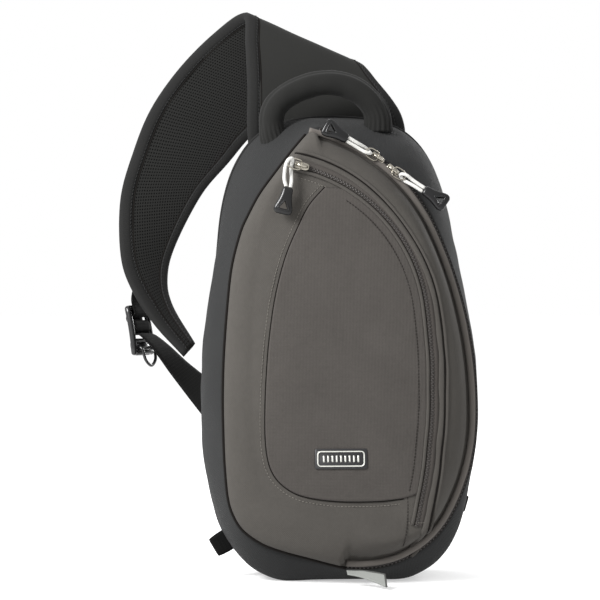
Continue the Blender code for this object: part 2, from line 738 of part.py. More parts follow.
def zip_pull(tag, centre, radius, angle, height, direction, slope=0.0, raised=7.0, cord=None, toggle_at=None):
    """Slider on an arc with a metal bail, a cord loop and a flared toggle."""
    along_arc = (-math.sin(angle), math.cos(angle))
    at = (centre[0] + radius * math.cos(angle), centre[1] + radius * math.sin(angle))
    normal = (-slope, 0.0, 1.0)
    along = (along_arc[0], along_arc[1], slope * along_arc[0])
    frame = lid_matrix((at[0], at[1], height), along, normal)
    arc_axis = lid_matrix((centre[0], centre[1], height + slope * (centre[0] - at[0])), (1.0, 0.0, slope), normal)
    carriage = empty(tag + "_slider_axis", arc_axis)
    bpy.context.view_layer.update()
    body = finish(tag + "_slider", box_mesh((13.0, SLIDER_WIDTH, 2.2), (0, 0, 1.1), frame), METAL, parent=carriage,
                  bevel=0.8 * MM)
    body.name = tag + "_slider"
    arch = [Vector((x * MM, 0.0, z * MM)) for x, z in
            ((-4.6, 1.6), (-4.6, 3.0), (-3.6, 4.6), (-1.5, 5.4), (1.5, 5.4), (3.6, 4.6), (4.6, 3.0), (4.6, 1.6))]
    bridge = tube_mesh([frame @ p for p in arch], 0.75 * MM, sides=8)
    bridge_obj = finish(tag + "_slider_bridge", bridge, METAL, parent=carriage)
    union = body.modifiers.new("bridge", "BOOLEAN")
    union.operation = "UNION"
    union.solver = "EXACT"
    union.object = bridge_obj
    parts.objects.unlink(bridge_obj)
    cutters.objects.link(bridge_obj)
    bridge_obj.display_type = "WIRE"
    bridge_obj.hide_render = True
    pull_dir = (direction[0], direction[1], slope * direction[0])
    pivot_local = frame @ Vector((0.0, 0.0, 3.75 * MM))
    pull_frame = lid_matrix((at[0], at[1], height), pull_dir, normal)
    pull_frame.translation = pivot_local
    pull_frame = pull_frame @ Matrix.Rotation(-math.radians(raised), 4, "Y")
    swing = empty(tag + "_pull_axis", pull_frame)
    swing.parent = carriage
    swing.matrix_parent_inverse = carriage.matrix_world.inverted()
    bpy.context.view_layer.update()
    bail = [Vector((x * MM, y * MM, z * MM)) for x, y, z in
            ((0.0, -3.5, 0.0), (0.0, 3.5, 0.0), (2.5, 4.4, 0.0), (5.5, 4.4, 0.1), (8.5, 4.4, 0.2), (11.5, 2.6, 0.4),
             (12.4, 0.0, 0.4), (11.5, -2.6, 0.4), (8.5, -4.4, 0.2), (5.5, -4.4, 0.1), (2.5, -4.4, 0.0))]
    finish(tag + "_bail", tube_mesh([pull_frame @ p for p in bail], 0.65 * MM, closed=True, sides=8), METAL,
           parent=swing)
    loop_points = cord or straight_cord(11.2, 20.0)
    pts = spline([np.array(p) for p in loop_points], 2)
    finish(tag + "_cord", tube_mesh([pull_frame @ (Vector(p) * MM) for p in pts], CORD_RADIUS * MM, sides=6),
           CORD, parent=swing)
    top_x, top_y, top_z, turn = toggle_at or (31.2, 0.0, 1.2, 0.0)
    toggle_frame = pull_frame @ Matrix.Translation(Vector((top_x, top_y, top_z)) * MM)
    toggle_frame = toggle_frame @ Matrix.Rotation(turn, 4, "Z")
    rings = []
    for share, w, h in ((0.0, 8.6, 5.0), (0.06, 9.8, 6.0), (0.5, 11.8, 6.0), (0.93, 16.0, 5.2), (1.0, 15.0, 4.2)):
        x = GAP + 23.0 * share
        ring = []
        for sy, sz in ((-0.5, -0.35), (-0.35, -0.5), (0.35, -0.5), (0.5, -0.35), (0.5, 0.35), (0.35, 0.5),
                       (-0.35, 0.5), (-0.5, 0.35)):
            ring.append(toggle_frame @ Vector((x * MM, sy * w * MM, sz * h * MM)))
        rings.append(ring)
    toggle = finish(tag + "_toggle", loft(rings), TOGGLE, parent=swing)
    hole = []
    for z in (-8.0, 8.0):
        ring = []
        for x, y in ((10.5, 0.0), (18.5, 4.4), (19.2, 3.6), (19.2, -3.6), (18.5, -4.4)):
            ring.append(toggle_frame @ Vector(((GAP + x) * MM, y * MM, z * MM)))
        hole.append(ring)
    cut(toggle, loft(hole), tag + "_toggle_hole")
    return at


MAIN_R = ZIP_ARCS[0][0] - COIL_INSET
MAIN_C = arc_centre(ZIP_START, ZIP_HEADING, ZIP_ARCS[0][0])
SLIDER_LEVEL = 1.35
A_UP = deg(54.0)
A_DOWN = deg(47.5)
zip_pull("main_a", MAIN_C, MAIN_R, A_UP, SLIDER_LEVEL, (-math.sin(A_UP + 0.12), math.cos(A_UP + 0.12)))
zip_pull("main_b", MAIN_C, MAIN_R, A_DOWN, SLIDER_LEVEL, (math.sin(A_DOWN + 0.14), -math.cos(A_DOWN + 0.14)))
POCKET_R = POCKET_ARCS[0][0]
POCKET_C = arc_centre(POCKET_START, POCKET_HEADING, POCKET_R)
P_ANG = deg(90.0) + POCKET_HEADING - 0.05
p_at = (POCKET_C[0] + POCKET_R * math.cos(P_ANG), POCKET_C[1] + POCKET_R * math.sin(P_ANG))
p_level = POCKET_BASE_N + POCKET_SLOPE * (p_at[0] - POCKET_REF_U) + 3.9
POCKET_CORD = (
    (9.2, 20.6, 2.6), (12.2, 15.0, 3.2), (13.4, 8.0, 4.0), (13.6, 2.5, 4.4), (12.4, -1.6, 4.6), (9.8, -3.4, 3.4),
    (8.6, -1.6, 0.6), (8.4, 0.4, -1.5), (8.2, 3.2, -2.2), (7.0, 8.0, -1.0), (6.0, 12.5, 1.0), (5.2, 16.5, 2.4),
    (4.9, 20.6, 2.6),
)
zip_pull("pocket", POCKET_C, POCKET_R, P_ANG, p_level, (-math.sin(P_ANG), math.cos(P_ANG)), slope=POCKET_SLOPE,
         raised=7.0, cord=POCKET_CORD, toggle_at=(7.05, 20.9, 2.6, math.radians(90.0)))



# ---------------------------------------------------------------- grab handle
handle_pts = [Vector(p) * MM for p in spline(HANDLE_PATH, 3)]
foot = Matrix.Translation(Vector((-15.3, 20.0, 397.0)) * MM)
handle_joint = empty("handle_axis", foot)
bpy.context.view_layer.update()
swell = [HANDLE_RADIUS * MM * (0.45 + 0.55 * min(1.0, 5.5 * min(i, len(handle_pts) - 1 - i) / len(handle_pts)))
         for i in range(len(handle_pts))]
finish("handle_pad", tube_mesh(handle_pts, swell, sides=12), STRAP_CLOTH, parent=handle_joint)


def stitch_block(name, centre, tilt, pitch):
    """Sewn patch lying on the sloping yoke under one end of the handle."""
    m = Matrix.Translation(Vector(centre) * MM) @ Matrix.Rotation(tilt, 4, "Y") @ Matrix.Rotation(pitch, 4, "X")
    return finish(name, box_mesh((14.0, 20.0, 2.2), (0, 0, 0), m), WEBBING, bevel=0.5 * MM)


stitch_block("handle_anchor_left", (-60.0, 20.0, 387.3), deg(-36.0), deg(22.0))
stitch_block("handle_anchor_right", (31.0, 20.0, 395.3), deg(15.0), deg(25.0))


# ---------------------------------------------------------------- shoulder strap
def band(sections, low, high, per_span=3, trim=0.0, edge=0.0):
    """Strap layer between two offsets along the band's own normal."""
    left = spline([s[0] for s in sections], per_span)
    right = spline([s[1] for s in sections], per_span)
    rings = []
    count = len(left)
    for i in range(count):
        a = Vector(left[i])
        b = Vector(right[i])
        j = min(count - 1, i + 1)
        k = max(0, i - 1)
        t = (Vector(left[j] + right[j]) - Vector(left[k] + right[k])).normalized()
        across = b - a
        width = across.length
        across.normalize()
        normal = across.cross(t).normalized()
        ring = []
        for share, depth in ((0.0, 0.55), (0.03, 0.1), (0.5, 0.0), (0.97, 0.1), (1.0, 0.55)):
            base = a + across * (trim + (width - 2 * trim) * share)
            mid = (low + high) / 2
            ring.append((base + normal * (low + (mid - low) * depth)) * MM)
        for share, depth in ((1.0, 0.45), (0.97, 0.9), (0.5, 1.0), (0.03, 0.9), (0.0, 0.45)):
            base = a + across * (trim + (width - 2 * trim) * share)
            mid = (low + high) / 2
            ring.append((base + normal * (mid + (high - mid) * depth)) * MM)
        rings.append(ring)
    return loft(rings)


finish("shoulder_strap", band(STRAP_SECTIONS, 0.6, STRAP_HALF, trim=0.0), STRAP_CLOTH)
finish("strap_spacer_mesh", band(STRAP_SECTIONS, -STRAP_HALF, -0.6, trim=3.0), MESH)

# ---------------------------------------------------------------- buckle and lower webbing
BUCKLE_AT = Vector((-171.0, 126.0, 212.0))
buckle_z = Vector((-0.24, 0.0, 0.97)).normalized()
buckle_y = Vector((0.58, 0.815, 0.0)).normalized()
buckle_x = buckle_y.cross(buckle_z).normalized()
buckle_z = buckle_x.cross(buckle_y)
buckle_m = Matrix.Translation(BUCKLE_AT * MM) @ Matrix((buckle_x, buckle_y, buckle_z)).transposed().to_4x4()
frame_body = finish("buckle_frame", box_mesh((8.0, 34.0, 44.0), (0, 0, 0), buckle_m), PLASTIC, bevel=1.8 * MM)
cut(frame_body, box_mesh((30.0, 26.4, 7.0), (0, 0, 12.0), buckle_m), "buckle_slot_upper")
cut(frame_body, box_mesh((30.0, 26.4, 8.0), (0, 0, -3.0), buckle_m), "buckle_slot_middle")
cut(frame_body, box_mesh((30.0, 26.4, 8.0), (0, 0, -15.0), buckle_m), "buckle_slot_lower")
lever_axis = empty("ring_axis", buckle_m @ Matrix.Translation((0, 0, -15.0 * MM)))
bpy.context.view_layer.update()
ring_pts = [(0.0, -9.0, -15.0), (0.0, 9.0, -15.0), (4.5, 10.5, -15.2), (7.4, 10.5, -19.0), (7.6, 8.0, -29.0),
            (7.4, 0.0, -34.0), (7.6, -8.0, -29.0), (7.4, -10.5, -19.0), (4.5, -10.5, -15.2)]
finish("buckle_lift_ring", tube_mesh([buckle_m @ (Vector(p) * MM) for p in ring_pts], 1.3 * MM, closed=True,
                                     sides=10), PLASTIC, parent=lever_axis)


def ribbon(name, stations, half_thick, mat):
    """Flat webbing: each station has a centre and a full width vector."""
    centres = spline([s[0] for s in stations], 5)
    widths = spline([s[1] for s in stations], 5)
    rings = []
    count = len(centres)
    for i in range(count):
        t = Vector(centres[min(count - 1, i + 1)] - centres[max(0, i - 1)]).normalized()
        w = Vector(widths[i])
        side = w.normalized()
        normal = t.cross(side).normalized()
        ring = []
        for sw, sn in ((-0.5, -1), (0.5, -1), (0.5, 1), (-0.5, 1)):
            ring.append((Vector(centres[i]) + w * sw + normal * sn * half_thick) * MM)
        rings.append(ring)
    return finish(name, loft(rings), mat)


ribbon("lower_webbing", (
    ((-170.3, 126.0, 209.1), (14.5, 20.4, 0.0)),
    ((-163.5, 121.3, 208.4), (14.5, 20.4, 0.0)),
    ((-151.0, 113.5, 197.0), (15.0, 19.5, 3.5)),
    ((-136.0, 103.5, 179.5), (16.5, 16.5, 9.0)),
    ((-119.0, 88.0, 161.0), (19.0, 8.0, 15.0)),
    ((-105.0, 73.0, 143.0), (20.0, 2.0, 15.0)),
    ((-95.0, 63.5, 128.0), (20.0, 0.0, 15.0)),
    ((-91.0, 61.0, 121.0), (20.0, 0.0, 15.0)),
), 0.8, WEBBING)
ribbon("strap_end_webbing", (
    ((-166.0, 134.0, 256.0), (20.0, 14.0, 6.0)),
    ((-169.0, 131.0, 245.0), (18.0, 17.0, 4.5)),
    ((-170.0, 127.5, 237.0), (15.0, 18.7, 1.5)),
    ((-168.7, 124.4, 228.6), (13.7, 19.3, 0.0)),
    ((-171.0, 126.1, 225.2), (13.7, 19.3, 0.0)),
), 0.8, WEBBING)


def tab(name, centre, size, angle, mat, bevel=1.0):
    m = Matrix.Translation(Vector(centre) * MM) @ Matrix.Rotation(angle, 4, "Y")
    return finish(name, box_mesh(size, (0, 0, 0), m), mat, bevel=bevel * MM)


SIDE_LOOPS = (
    ("side_loop_left", deg(238.0), 0.55, (13.0, 5.0, 21.0)),
    ("side_loop_right", deg(-50.0), 0.86, (9.0, 5.0, 18.0)),
)
for name, theta, share, size in SIDE_LOOPS:
    rim = gusset_point(theta + 0.06, share, 0.0) - gusset_point(theta - 0.06, share, 0.0)
    out_dir = Vector((rim.z, 0.0, -rim.x)).normalized()
    foot_at = gusset_point(theta, share, 0.0) + out_dir * 2.4 * MM
    mid_at = (foot_at + out_dir * size[0] / 2 * MM) / MM
    tab(name, mid_at, size, math.atan2(-out_dir.z, out_dir.x), WEBBING, bevel=2.0)
ribbon("hem_tag", (
    ((-2.0, -58.5, 11.0), (0.0, -5.0, -2.5)),
    ((9.0, -67.0, 10.5), (0.0, -7.0, -5.0)),
    ((18.0, -76.0, 9.0), (0.0, -9.0, -7.5)),
    ((27.0, -85.0, 7.0), (0.0, -10.0, -9.5)),
), 0.7, SILVER)
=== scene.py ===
"""Look of the sling camera bag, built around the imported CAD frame."""
import math
import bpy
import bmesh
import numpy as np
from mathutils import Matrix, Vector, noise


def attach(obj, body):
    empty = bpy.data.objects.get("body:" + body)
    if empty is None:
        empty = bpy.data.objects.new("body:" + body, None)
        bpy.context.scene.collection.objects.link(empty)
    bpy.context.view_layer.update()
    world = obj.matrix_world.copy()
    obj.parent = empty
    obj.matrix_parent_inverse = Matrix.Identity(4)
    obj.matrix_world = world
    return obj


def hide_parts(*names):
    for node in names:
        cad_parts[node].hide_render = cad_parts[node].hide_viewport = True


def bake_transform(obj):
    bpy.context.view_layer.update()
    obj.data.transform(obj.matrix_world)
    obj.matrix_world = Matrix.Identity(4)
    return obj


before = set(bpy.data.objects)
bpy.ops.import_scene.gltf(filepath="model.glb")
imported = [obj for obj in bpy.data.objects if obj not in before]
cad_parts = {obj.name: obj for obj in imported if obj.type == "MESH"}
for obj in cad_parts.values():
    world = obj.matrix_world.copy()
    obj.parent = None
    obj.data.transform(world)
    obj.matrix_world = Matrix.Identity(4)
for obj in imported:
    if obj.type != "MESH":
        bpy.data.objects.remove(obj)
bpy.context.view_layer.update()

# ------------------------------------------------------------------ dimensions shared with the CAD (millimetres)
MM = 0.001
FRONT_TILT = math.radians(4.0)
FRONT_Y = -50.0
BACK_Y = 50.0
BACK_THICK = 8.0
CENTRE = (0.0, 190.0)
GUSSET_FRONT = -1.8
ZIP_START = (-20.5, 388.9)
ZIP_HEADING = math.radians(-14.85)
ZIP_ARCS = ((151.6, 49.9), (369.8, 26.5), (178.5, 28.5), (87.3, 70.6))
COIL_INSET = 2.5
WELT_INSET = 8.0
LID_INSET = 10.3
POCKET_START = (-46.0, 354.4)
POCKET_HEADING = math.radians(-11.0)
POCKET_ARCS = ((138.4, 71.5), (504.4, 21.4))
POCKET_BASE_N = 18.0
POCKET_SLOPE = 0.098
POCKET_REF_U = -45.0
DOME = 4.0
BADGE_AT = (-8.5, 106.0)
HINGE_FOOT = (28.0, 14.0)
HINGE_HEAD = (8.0, 391.0)
SEAM_GAP = 0.6
CORD_RADIUS = 1.5
# outlines in lid coordinates: across, up the lid
LEFT_SEAM = (
    (-20.5, 392.0), (-30.0, 386.0), (-43.3, 371.0), (-58.0, 352.0), (-72.7, 332.0), (-83.0, 313.0),
    (-89.5, 298.0), (-96.8, 270.0), (-100.6, 239.0), (-104.0, 196.0), (-105.2, 157.0), (-104.6, 120.0),
    (-103.6, 98.0), (-101.0, 72.0), (-96.0, 57.0), (-88.0, 45.5), (-72.8, 34.8), (-55.0, 28.0),
    (-35.0, 22.5), (-15.0, 17.0), (-1.9, 13.8),
)
CROWN_LEFT = (
    (-44.0, 358.5), (-53.0, 345.5), (-62.0, 330.0), (-70.0, 305.0), (-76.0, 275.0), (-80.0, 240.0),
    (-82.0, 200.0), (-82.5, 160.0), (-81.0, 125.0), (-78.0, 98.0), (-70.0, 76.0), (-54.0, 60.0),
    (-34.0, 50.0), (-8.0, 44.0), (22.0, 41.0), (44.0, 42.0), (58.0, 46.0),
)
PANEL_LEFT = (
    (-19.5, 335.0), (-33.0, 319.5), (-43.0, 300.0), (-52.0, 279.0), (-58.5, 257.0), (-63.5, 233.0),
    (-67.5, 203.0), (-69.8, 174.0), (-71.0, 141.0), (-70.0, 113.0), (-65.0, 94.5), (-54.0, 82.0),
    (-38.0, 74.5), (-10.0, 70.5), (23.0, 70.5), (44.0, 72.5),
)
# right half of the back's outline: across, up
BACK_HALF = (
    (0.0, 403.0), (22.0, 402.0), (42.0, 398.5), (60.0, 391.5), (74.0, 380.0), (84.0, 366.0), (91.5, 350.0),
    (97.0, 331.0), (100.5, 311.0), (103.0, 285.0), (105.5, 255.0), (109.0, 225.0), (112.5, 195.0),
    (114.5, 165.0), (115.0, 135.0), (114.5, 110.0), (111.5, 85.0), (105.5, 58.0), (96.0, 35.0),
    (82.0, 16.0), (66.0, 5.0), (50.0, 0.0), (25.0, 0.0), (0.0, 0.0),
)
# outer and inner edge of the strap at each station
STRAP_SECTIONS = (
    ((-75.0, 63.2, 378.0), (65.0, 63.2, 380.0)),
    ((-76.0, 63.2, 400.0), (65.0, 63.2, 396.0)),
    ((-75.5, 66.0, 430.0), (59.0, 64.0, 413.0)),
    ((-76.5, 76.0, 471.0), (43.0, 70.0, 435.0)),
    ((-78.0, 92.0, 499.0), (26.0, 84.0, 452.0)),
    ((-104.0, 116.0, 483.0), (-6.0, 104.0, 444.0)),
    ((-134.0, 134.0, 453.0), (-38.0, 124.0, 420.0)),
    ((-159.0, 144.0, 417.0), (-68.0, 138.0, 392.0)),
    ((-175.0, 146.0, 378.0), (-88.0, 144.0, 368.0)),
    ((-187.0, 140.0, 334.0), (-113.0, 146.0, 338.0)),
    ((-187.0, 128.0, 282.0), (-137.0, 144.0, 292.0)),
    ((-177.0, 117.0, 250.0), (-145.0, 137.0, 262.0)),
    ((-157.0, 106.0, 219.0), (-141.0, 126.0, 235.0)),
    ((-131.0, 97.0, 190.0), (-121.0, 108.0, 200.0)),
)
# centre and width vector of each flat band at its stations
LOWER_WEBBING = (
    ((-170.3, 126.0, 209.1), (14.5, 20.4, 0.0)),
    ((-163.5, 121.3, 208.4), (14.5, 20.4, 0.0)),
    ((-151.0, 113.5, 197.0), (15.0, 19.5, 3.5)),
    ((-136.0, 103.5, 179.5), (16.5, 16.5, 9.0)),
    ((-119.0, 88.0, 161.0), (19.0, 8.0, 15.0)),
    ((-105.0, 73.0, 143.0), (20.0, 2.0, 15.0)),
    ((-95.0, 63.5, 128.0), (20.0, 0.0, 15.0)),
    ((-91.0, 61.0, 121.0), (20.0, 0.0, 15.0)),
)
END_WEBBING = (
    ((-166.0, 134.0, 256.0), (20.0, 14.0, 6.0)),
    ((-169.0, 131.0, 245.0), (18.0, 17.0, 4.5)),
    ((-170.0, 127.5, 237.0), (15.0, 18.7, 1.5)),
    ((-168.7, 124.4, 228.6), (13.7, 19.3, 0.0)),
    ((-171.0, 126.1, 225.2), (13.7, 19.3, 0.0)),
)
HEM_TAG = (
    ((-2.0, -58.5, 11.0), (0.0, -5.0, -2.5)),
    ((9.0, -67.0, 10.5), (0.0, -7.0, -5.0)),
    ((18.0, -76.0, 9.0), (0.0, -9.0, -7.5)),
    ((27.0, -85.0, 7.0), (0.0, -10.0, -9.5)),
)
HANDLE_LINE = (
    (-53.5, 20.0, 374.0), (-57.0, 20.0, 382.5), (-58.6, 20.0, 391.5), (-58.4, 20.0, 401.0), (-54.0, 20.0, 411.5),
    (-44.0, 20.0, 420.0), (-28.5, 20.0, 427.5), (-10.5, 20.0, 431.0), (6.5, 20.0, 429.0), (20.5, 20.0, 422.0),
    (30.0, 20.0, 412.5), (34.8, 20.0, 401.5), (35.6, 20.0, 388.0),
)


def held(value):
    """The value held between 0 and 1."""
    return min(1.0, max(0.0, value))


def around(count):
    """Even angles round a full turn."""
    return [2 * math.pi * k / count for k in range(count)]


def squarish(angle, power_x, power_y):
    """Point of a rounded square: the lower the powers, the squarer."""
    c = math.cos(angle)
    s = math.sin(angle)
    return math.copysign(abs(c) ** power_x, c), math.copysign(abs(s) ** power_y, s)


def ahead(points, i):
    """Direction of a line of points at one of them."""
    return Vector(points[min(len(points) - 1, i + 1)] - points[max(0, i - 1)]).normalized()


def runs(points):
    """Running length at each point of a line."""
    out = [0.0]
    for a, b in zip(points, points[1:]):
        out.append(out[-1] + math.hypot(*(b - a)))
    return np.array(out)


def lid(u, v, n):
    """World point for lid coordinates: across, up the lid, outward."""
    y = FRONT_Y + v * math.sin(FRONT_TILT) - n * math.cos(FRONT_TILT)
    z = v * math.cos(FRONT_TILT) + n * math.sin(FRONT_TILT)
    return Vector((u * MM, y * MM, z * MM))


LID_OUT = (lid(0, 0, 1) - lid(0, 0, 0)).normalized()


def lid_matrix(origin, along, outward=(0.0, 0.0, 1.0)):
    """World frame whose X runs along a lid direction and Z points out of the lid."""
    base = lid(0.0, 0.0, 0.0)
    z_axis = (lid(*outward) - base).normalized()
    x_axis = (lid(*along) - base).normalized()
    x_axis = (x_axis - z_axis * x_axis.dot(z_axis)).normalized()
    rot = Matrix((x_axis, z_axis.cross(x_axis), z_axis)).transposed()
    return Matrix.Translation(lid(*origin)) @ rot.to_4x4()


# ------------------------------------------------------------------ curves
def spline(points, per_span=8, closed=False):
    """Catmull-Rom curve through the points."""
    pts = [np.array(p, float) for p in points]
    count = len(pts)
    out = []
    spans = count if closed else count - 1
    for i in range(spans):
        b = pts[i]
        c = pts[(i + 1) % count]
        a = pts[(i - 1) % count] if closed or i > 0 else 2 * b - c
        d = pts[(i + 2) % count] if closed or i < spans - 1 else 2 * c - b
        for k in range(per_span):
            t = k / per_span
            out.append(0.5 * (2 * b + (c - a) * t + (2 * a - 5 * b + 4 * c - d) * t * t
                              + (3 * b - a - 3 * c + d) * t ** 3))
    if not closed:
        out.append(pts[-1])
    return np.array(out)


def arc_chain(start, heading, arcs, inset=0.0, step=2.0):
    """Clockwise chain of arcs, moved inward by inset."""
    u, v = start
    h = heading
    out = [(u + inset * math.sin(h), v - inset * math.cos(h))]
    for radius, sweep in arcs:
        cu = u + radius * math.sin(h)
        cv = v - radius * math.cos(h)
        total = math.radians(sweep)
        steps = max(4, int(radius * total / step))
        for k in range(1, steps + 1):
            hk = h - total * k / steps
            out.append((cu - (radius - inset) * math.sin(hk), cv + (radius - inset) * math.cos(hk)))
        h -= total
        u = cu - radius * math.sin(h)
        v = cv + radius * math.cos(h)
    return np.array(out)


def zip_line(inset=0.0):
    """Main zip's arc chain, moved inward by inset."""
    return arc_chain(ZIP_START, ZIP_HEADING, ZIP_ARCS, inset)


def pocket_line(inset=0.0):
    """Pocket zip's arc chain, moved inward by inset."""
    return arc_chain(POCKET_START, POCKET_HEADING, POCKET_ARCS, inset)


def evenly(path, step):
    """The path with points one step apart."""
    s = runs(path)
    t = np.linspace(0.0, s[-1], max(2, int(round(s[-1] / step)) + 1))
    return np.stack([np.interp(t, s, path[:, k]) for k in range(path.shape[1])], axis=1)


def beside(path, gap):
    """Path moved sideways by gap, to the left of its direction."""
    t = np.gradient(path, axis=0)
    t /= np.hypot(*t.T)[:, None]
    return path + np.stack((-t[:, 1], t[:, 0]), axis=1) * gap


def resample(loop, count, corner=0.45):
    """Even steps round a closed loop, keeping its sharp corners."""
    nxt = np.roll(loop, -1, axis=0)
    prev = np.roll(loop, 1, axis=0)
    seg = np.hypot(*(nxt - loop).T)
    s = np.concatenate(([0.0], np.cumsum(seg)))
    ring = np.vstack((loop, loop[:1]))
    t = np.linspace(0.0, s[-1], count, endpoint=False)
    a = loop - prev
    b = nxt - loop
    turn = np.abs(a[:, 0] * b[:, 1] - a[:, 1] * b[:, 0]) / (np.hypot(*a.T) * seg + 1e-9)
    for i in np.where(turn > corner)[0]:
        t[int(np.argmin(np.abs(t - s[i])))] = s[i]
    t = np.sort(t)
    return np.stack((np.interp(t, s, ring[:, 0]), np.interp(t, s, ring[:, 1])), axis=1)


def clean(loop, least=0.6):
    """The loop without points closer together than least."""
    out = [loop[0]]
    for p in loop[1:]:
        if np.hypot(*(p - out[-1])) > least:
            out.append(p)
    if np.hypot(*(out[0] - out[-1])) < least:
        out.pop()
    return np.array(out)


class Polar:
    """Closed outline stored as radius against angle about the bag's centre."""

    def __init__(self, loop):
        rel = np.array(loop) - np.array(CENTRE)
        ang = np.unwrap(np.arctan2(rel[:, 1], rel[:, 0]))
        rad = np.hypot(rel[:, 0], rel[:, 1])
        if ang[-1] < ang[0]:
            ang = ang[::-1]
            rad = rad[::-1]
        self.low = ang[0]
        self.ang = np.concatenate((ang - 2 * np.pi, ang, ang + 2 * np.pi))
        self.rad = np.concatenate((rad, rad, rad))

    def r(self, theta):
        t = self.low + (theta - self.low) % (2 * np.pi)
        return float(np.interp(t, self.ang, self.rad))

    def point(self, theta, extra=0.0):
        r = self.r(theta) + extra
        return (CENTRE[0] + r * math.cos(theta), CENTRE[1] + r * math.sin(theta))


seam_left = spline(LEFT_SEAM)
from_centre = seam_left - np.array(CENTRE)
shrink = 1.0 - SEAM_GAP / np.hypot(from_centre[:, 0], from_centre[:, 1])[:, None]
seam_in = (np.array(CENTRE) + from_centre * shrink)[::-1]
half = spline(BACK_HALF)
back_loop = np.vstack((half, [(-p[0], p[1]) for p in half[::-1][1:-1]]))
FRONT = Polar(np.vstack((zip_line(), seam_left[::-1][1:-1])))
LID = Polar(np.vstack((zip_line(LID_INSET), seam_in[3:-4])))
BACK = Polar(back_loop)
CROWN = Polar(np.vstack((pocket_line(-11.0)[4:], spline(CROWN_LEFT, 6)[::-1])))


def chain_inside(full, low, span, lead=9.0):
    """Zip line moved inward by full, closing in to low over the last span, with a lead before its start."""
    base = zip_line()
    run = runs(base)
    inset = np.array([low + (full - low) * (1.0 - max(0.0, 1.0 - (run[-1] - r) / span) ** 2) for r in run])
    out = beside(base, -inset[:, None])
    first = out[0] - (out[1] - out[0]) / np.hypot(*(out[1] - out[0])) * lead
    return np.vstack(([first], out))


cloth_chain = chain_inside(LID_INSET - 3.5, low=1.2, span=46.0)
cloth_loop = np.vstack((cloth_chain, np.array([p for p in seam_in if p[1] < 383.0 and p[0] < -6.0])))


# ------------------------------------------------------------------ surfaces
def sway(p, size, amount):
    """Soft unevenness of cloth, the same every run."""
    return noise.noise(Vector(p) * (1.0 / size)) * amount


def slack(u, v, size=21.0, depth=3.2):
    """Loose slanted folds low on the lid, none at the badge, the zip's top or the ends of the cloth."""
    low = held((v - 14.0) / 26.0) * held((265.0 - v) / 120.0)
    badge = 1.0 - math.exp(-((u - BADGE_AT[0]) / 34.0) ** 2 - ((v - BADGE_AT[1]) / 20.0) ** 2)
    return sway((u * 0.42 + v * 0.91, (u - v) * 0.20, 44.0), size, depth) * low * badge


def crown(u, v, rim=0.8, drop=0.6):
    """Height of the lid surface above the seam plane."""
    du = u - CENTRE[0]
    dv = v - CENTRE[1]
    theta = math.atan2(dv, du)
    r = math.hypot(du, dv)
    inner = CROWN.r(theta)
    outer = max(LID.r(theta), inner + 4.0)
    if r <= inner:
        plateau = POCKET_BASE_N + POCKET_SLOPE * (u - POCKET_REF_U)
        return plateau + DOME * (1.0 - (r / inner) ** 4) - drop + slack(u, v)
    edge_u = CENTRE[0] + inner * math.cos(theta)
    plateau = POCKET_BASE_N + POCKET_SLOPE * (edge_u - POCKET_REF_U) - drop
    t = min(1.0, (r - inner) / (outer - inner))
    return rim + (plateau - rim) * math.sqrt(max(0.0, 1.0 - t ** 1.7)) + slack(u, v) * (1.0 - t * t)


def on_lid(lift):
    """Height function: a lift above the lid's surface."""
    return lambda u, v: crown(u, v) + lift


def level(value):
    """Height function: the same everywhere."""
    return lambda u, v: value


def gusset_point(theta, s, inward, bulge_left=9.0, bulge_right=6.0):
    """Point of the side wall: s runs from the front seam to the back edge."""
    fu, fv = FRONT.point(theta, -inward)
    bu, bv = BACK.point(theta, -inward)
    front = lid(fu, fv, GUSSET_FRONT)
    back = Vector((bu * MM, BACK_Y * MM, bv * MM))
    up = math.sin(theta)
    ease = 1.0 - (1.0 - s) ** 1.7
    low = held((-up - 0.55) / 0.35)
    drop = 1.0 - max(0.0, 1.0 - s / 0.34) ** 1.6
    ease += (drop - ease) * low * low * (3.0 - 2.0 * low)
    p = front.lerp(back, s)
    p.x = front.x + (back.x - front.x) * ease
    p.z = front.z + (back.z - front.z) * ease
    side = max(0.0, 1.0 - abs(up) ** 3)
    bulge = (bulge_left if math.cos(theta) < 0 else bulge_right) * side * math.sin(math.pi * min(1.0, s)) ** 0.9
    p.x += bulge * math.cos(theta) * MM
    p.z += bulge * up * MM
    return p


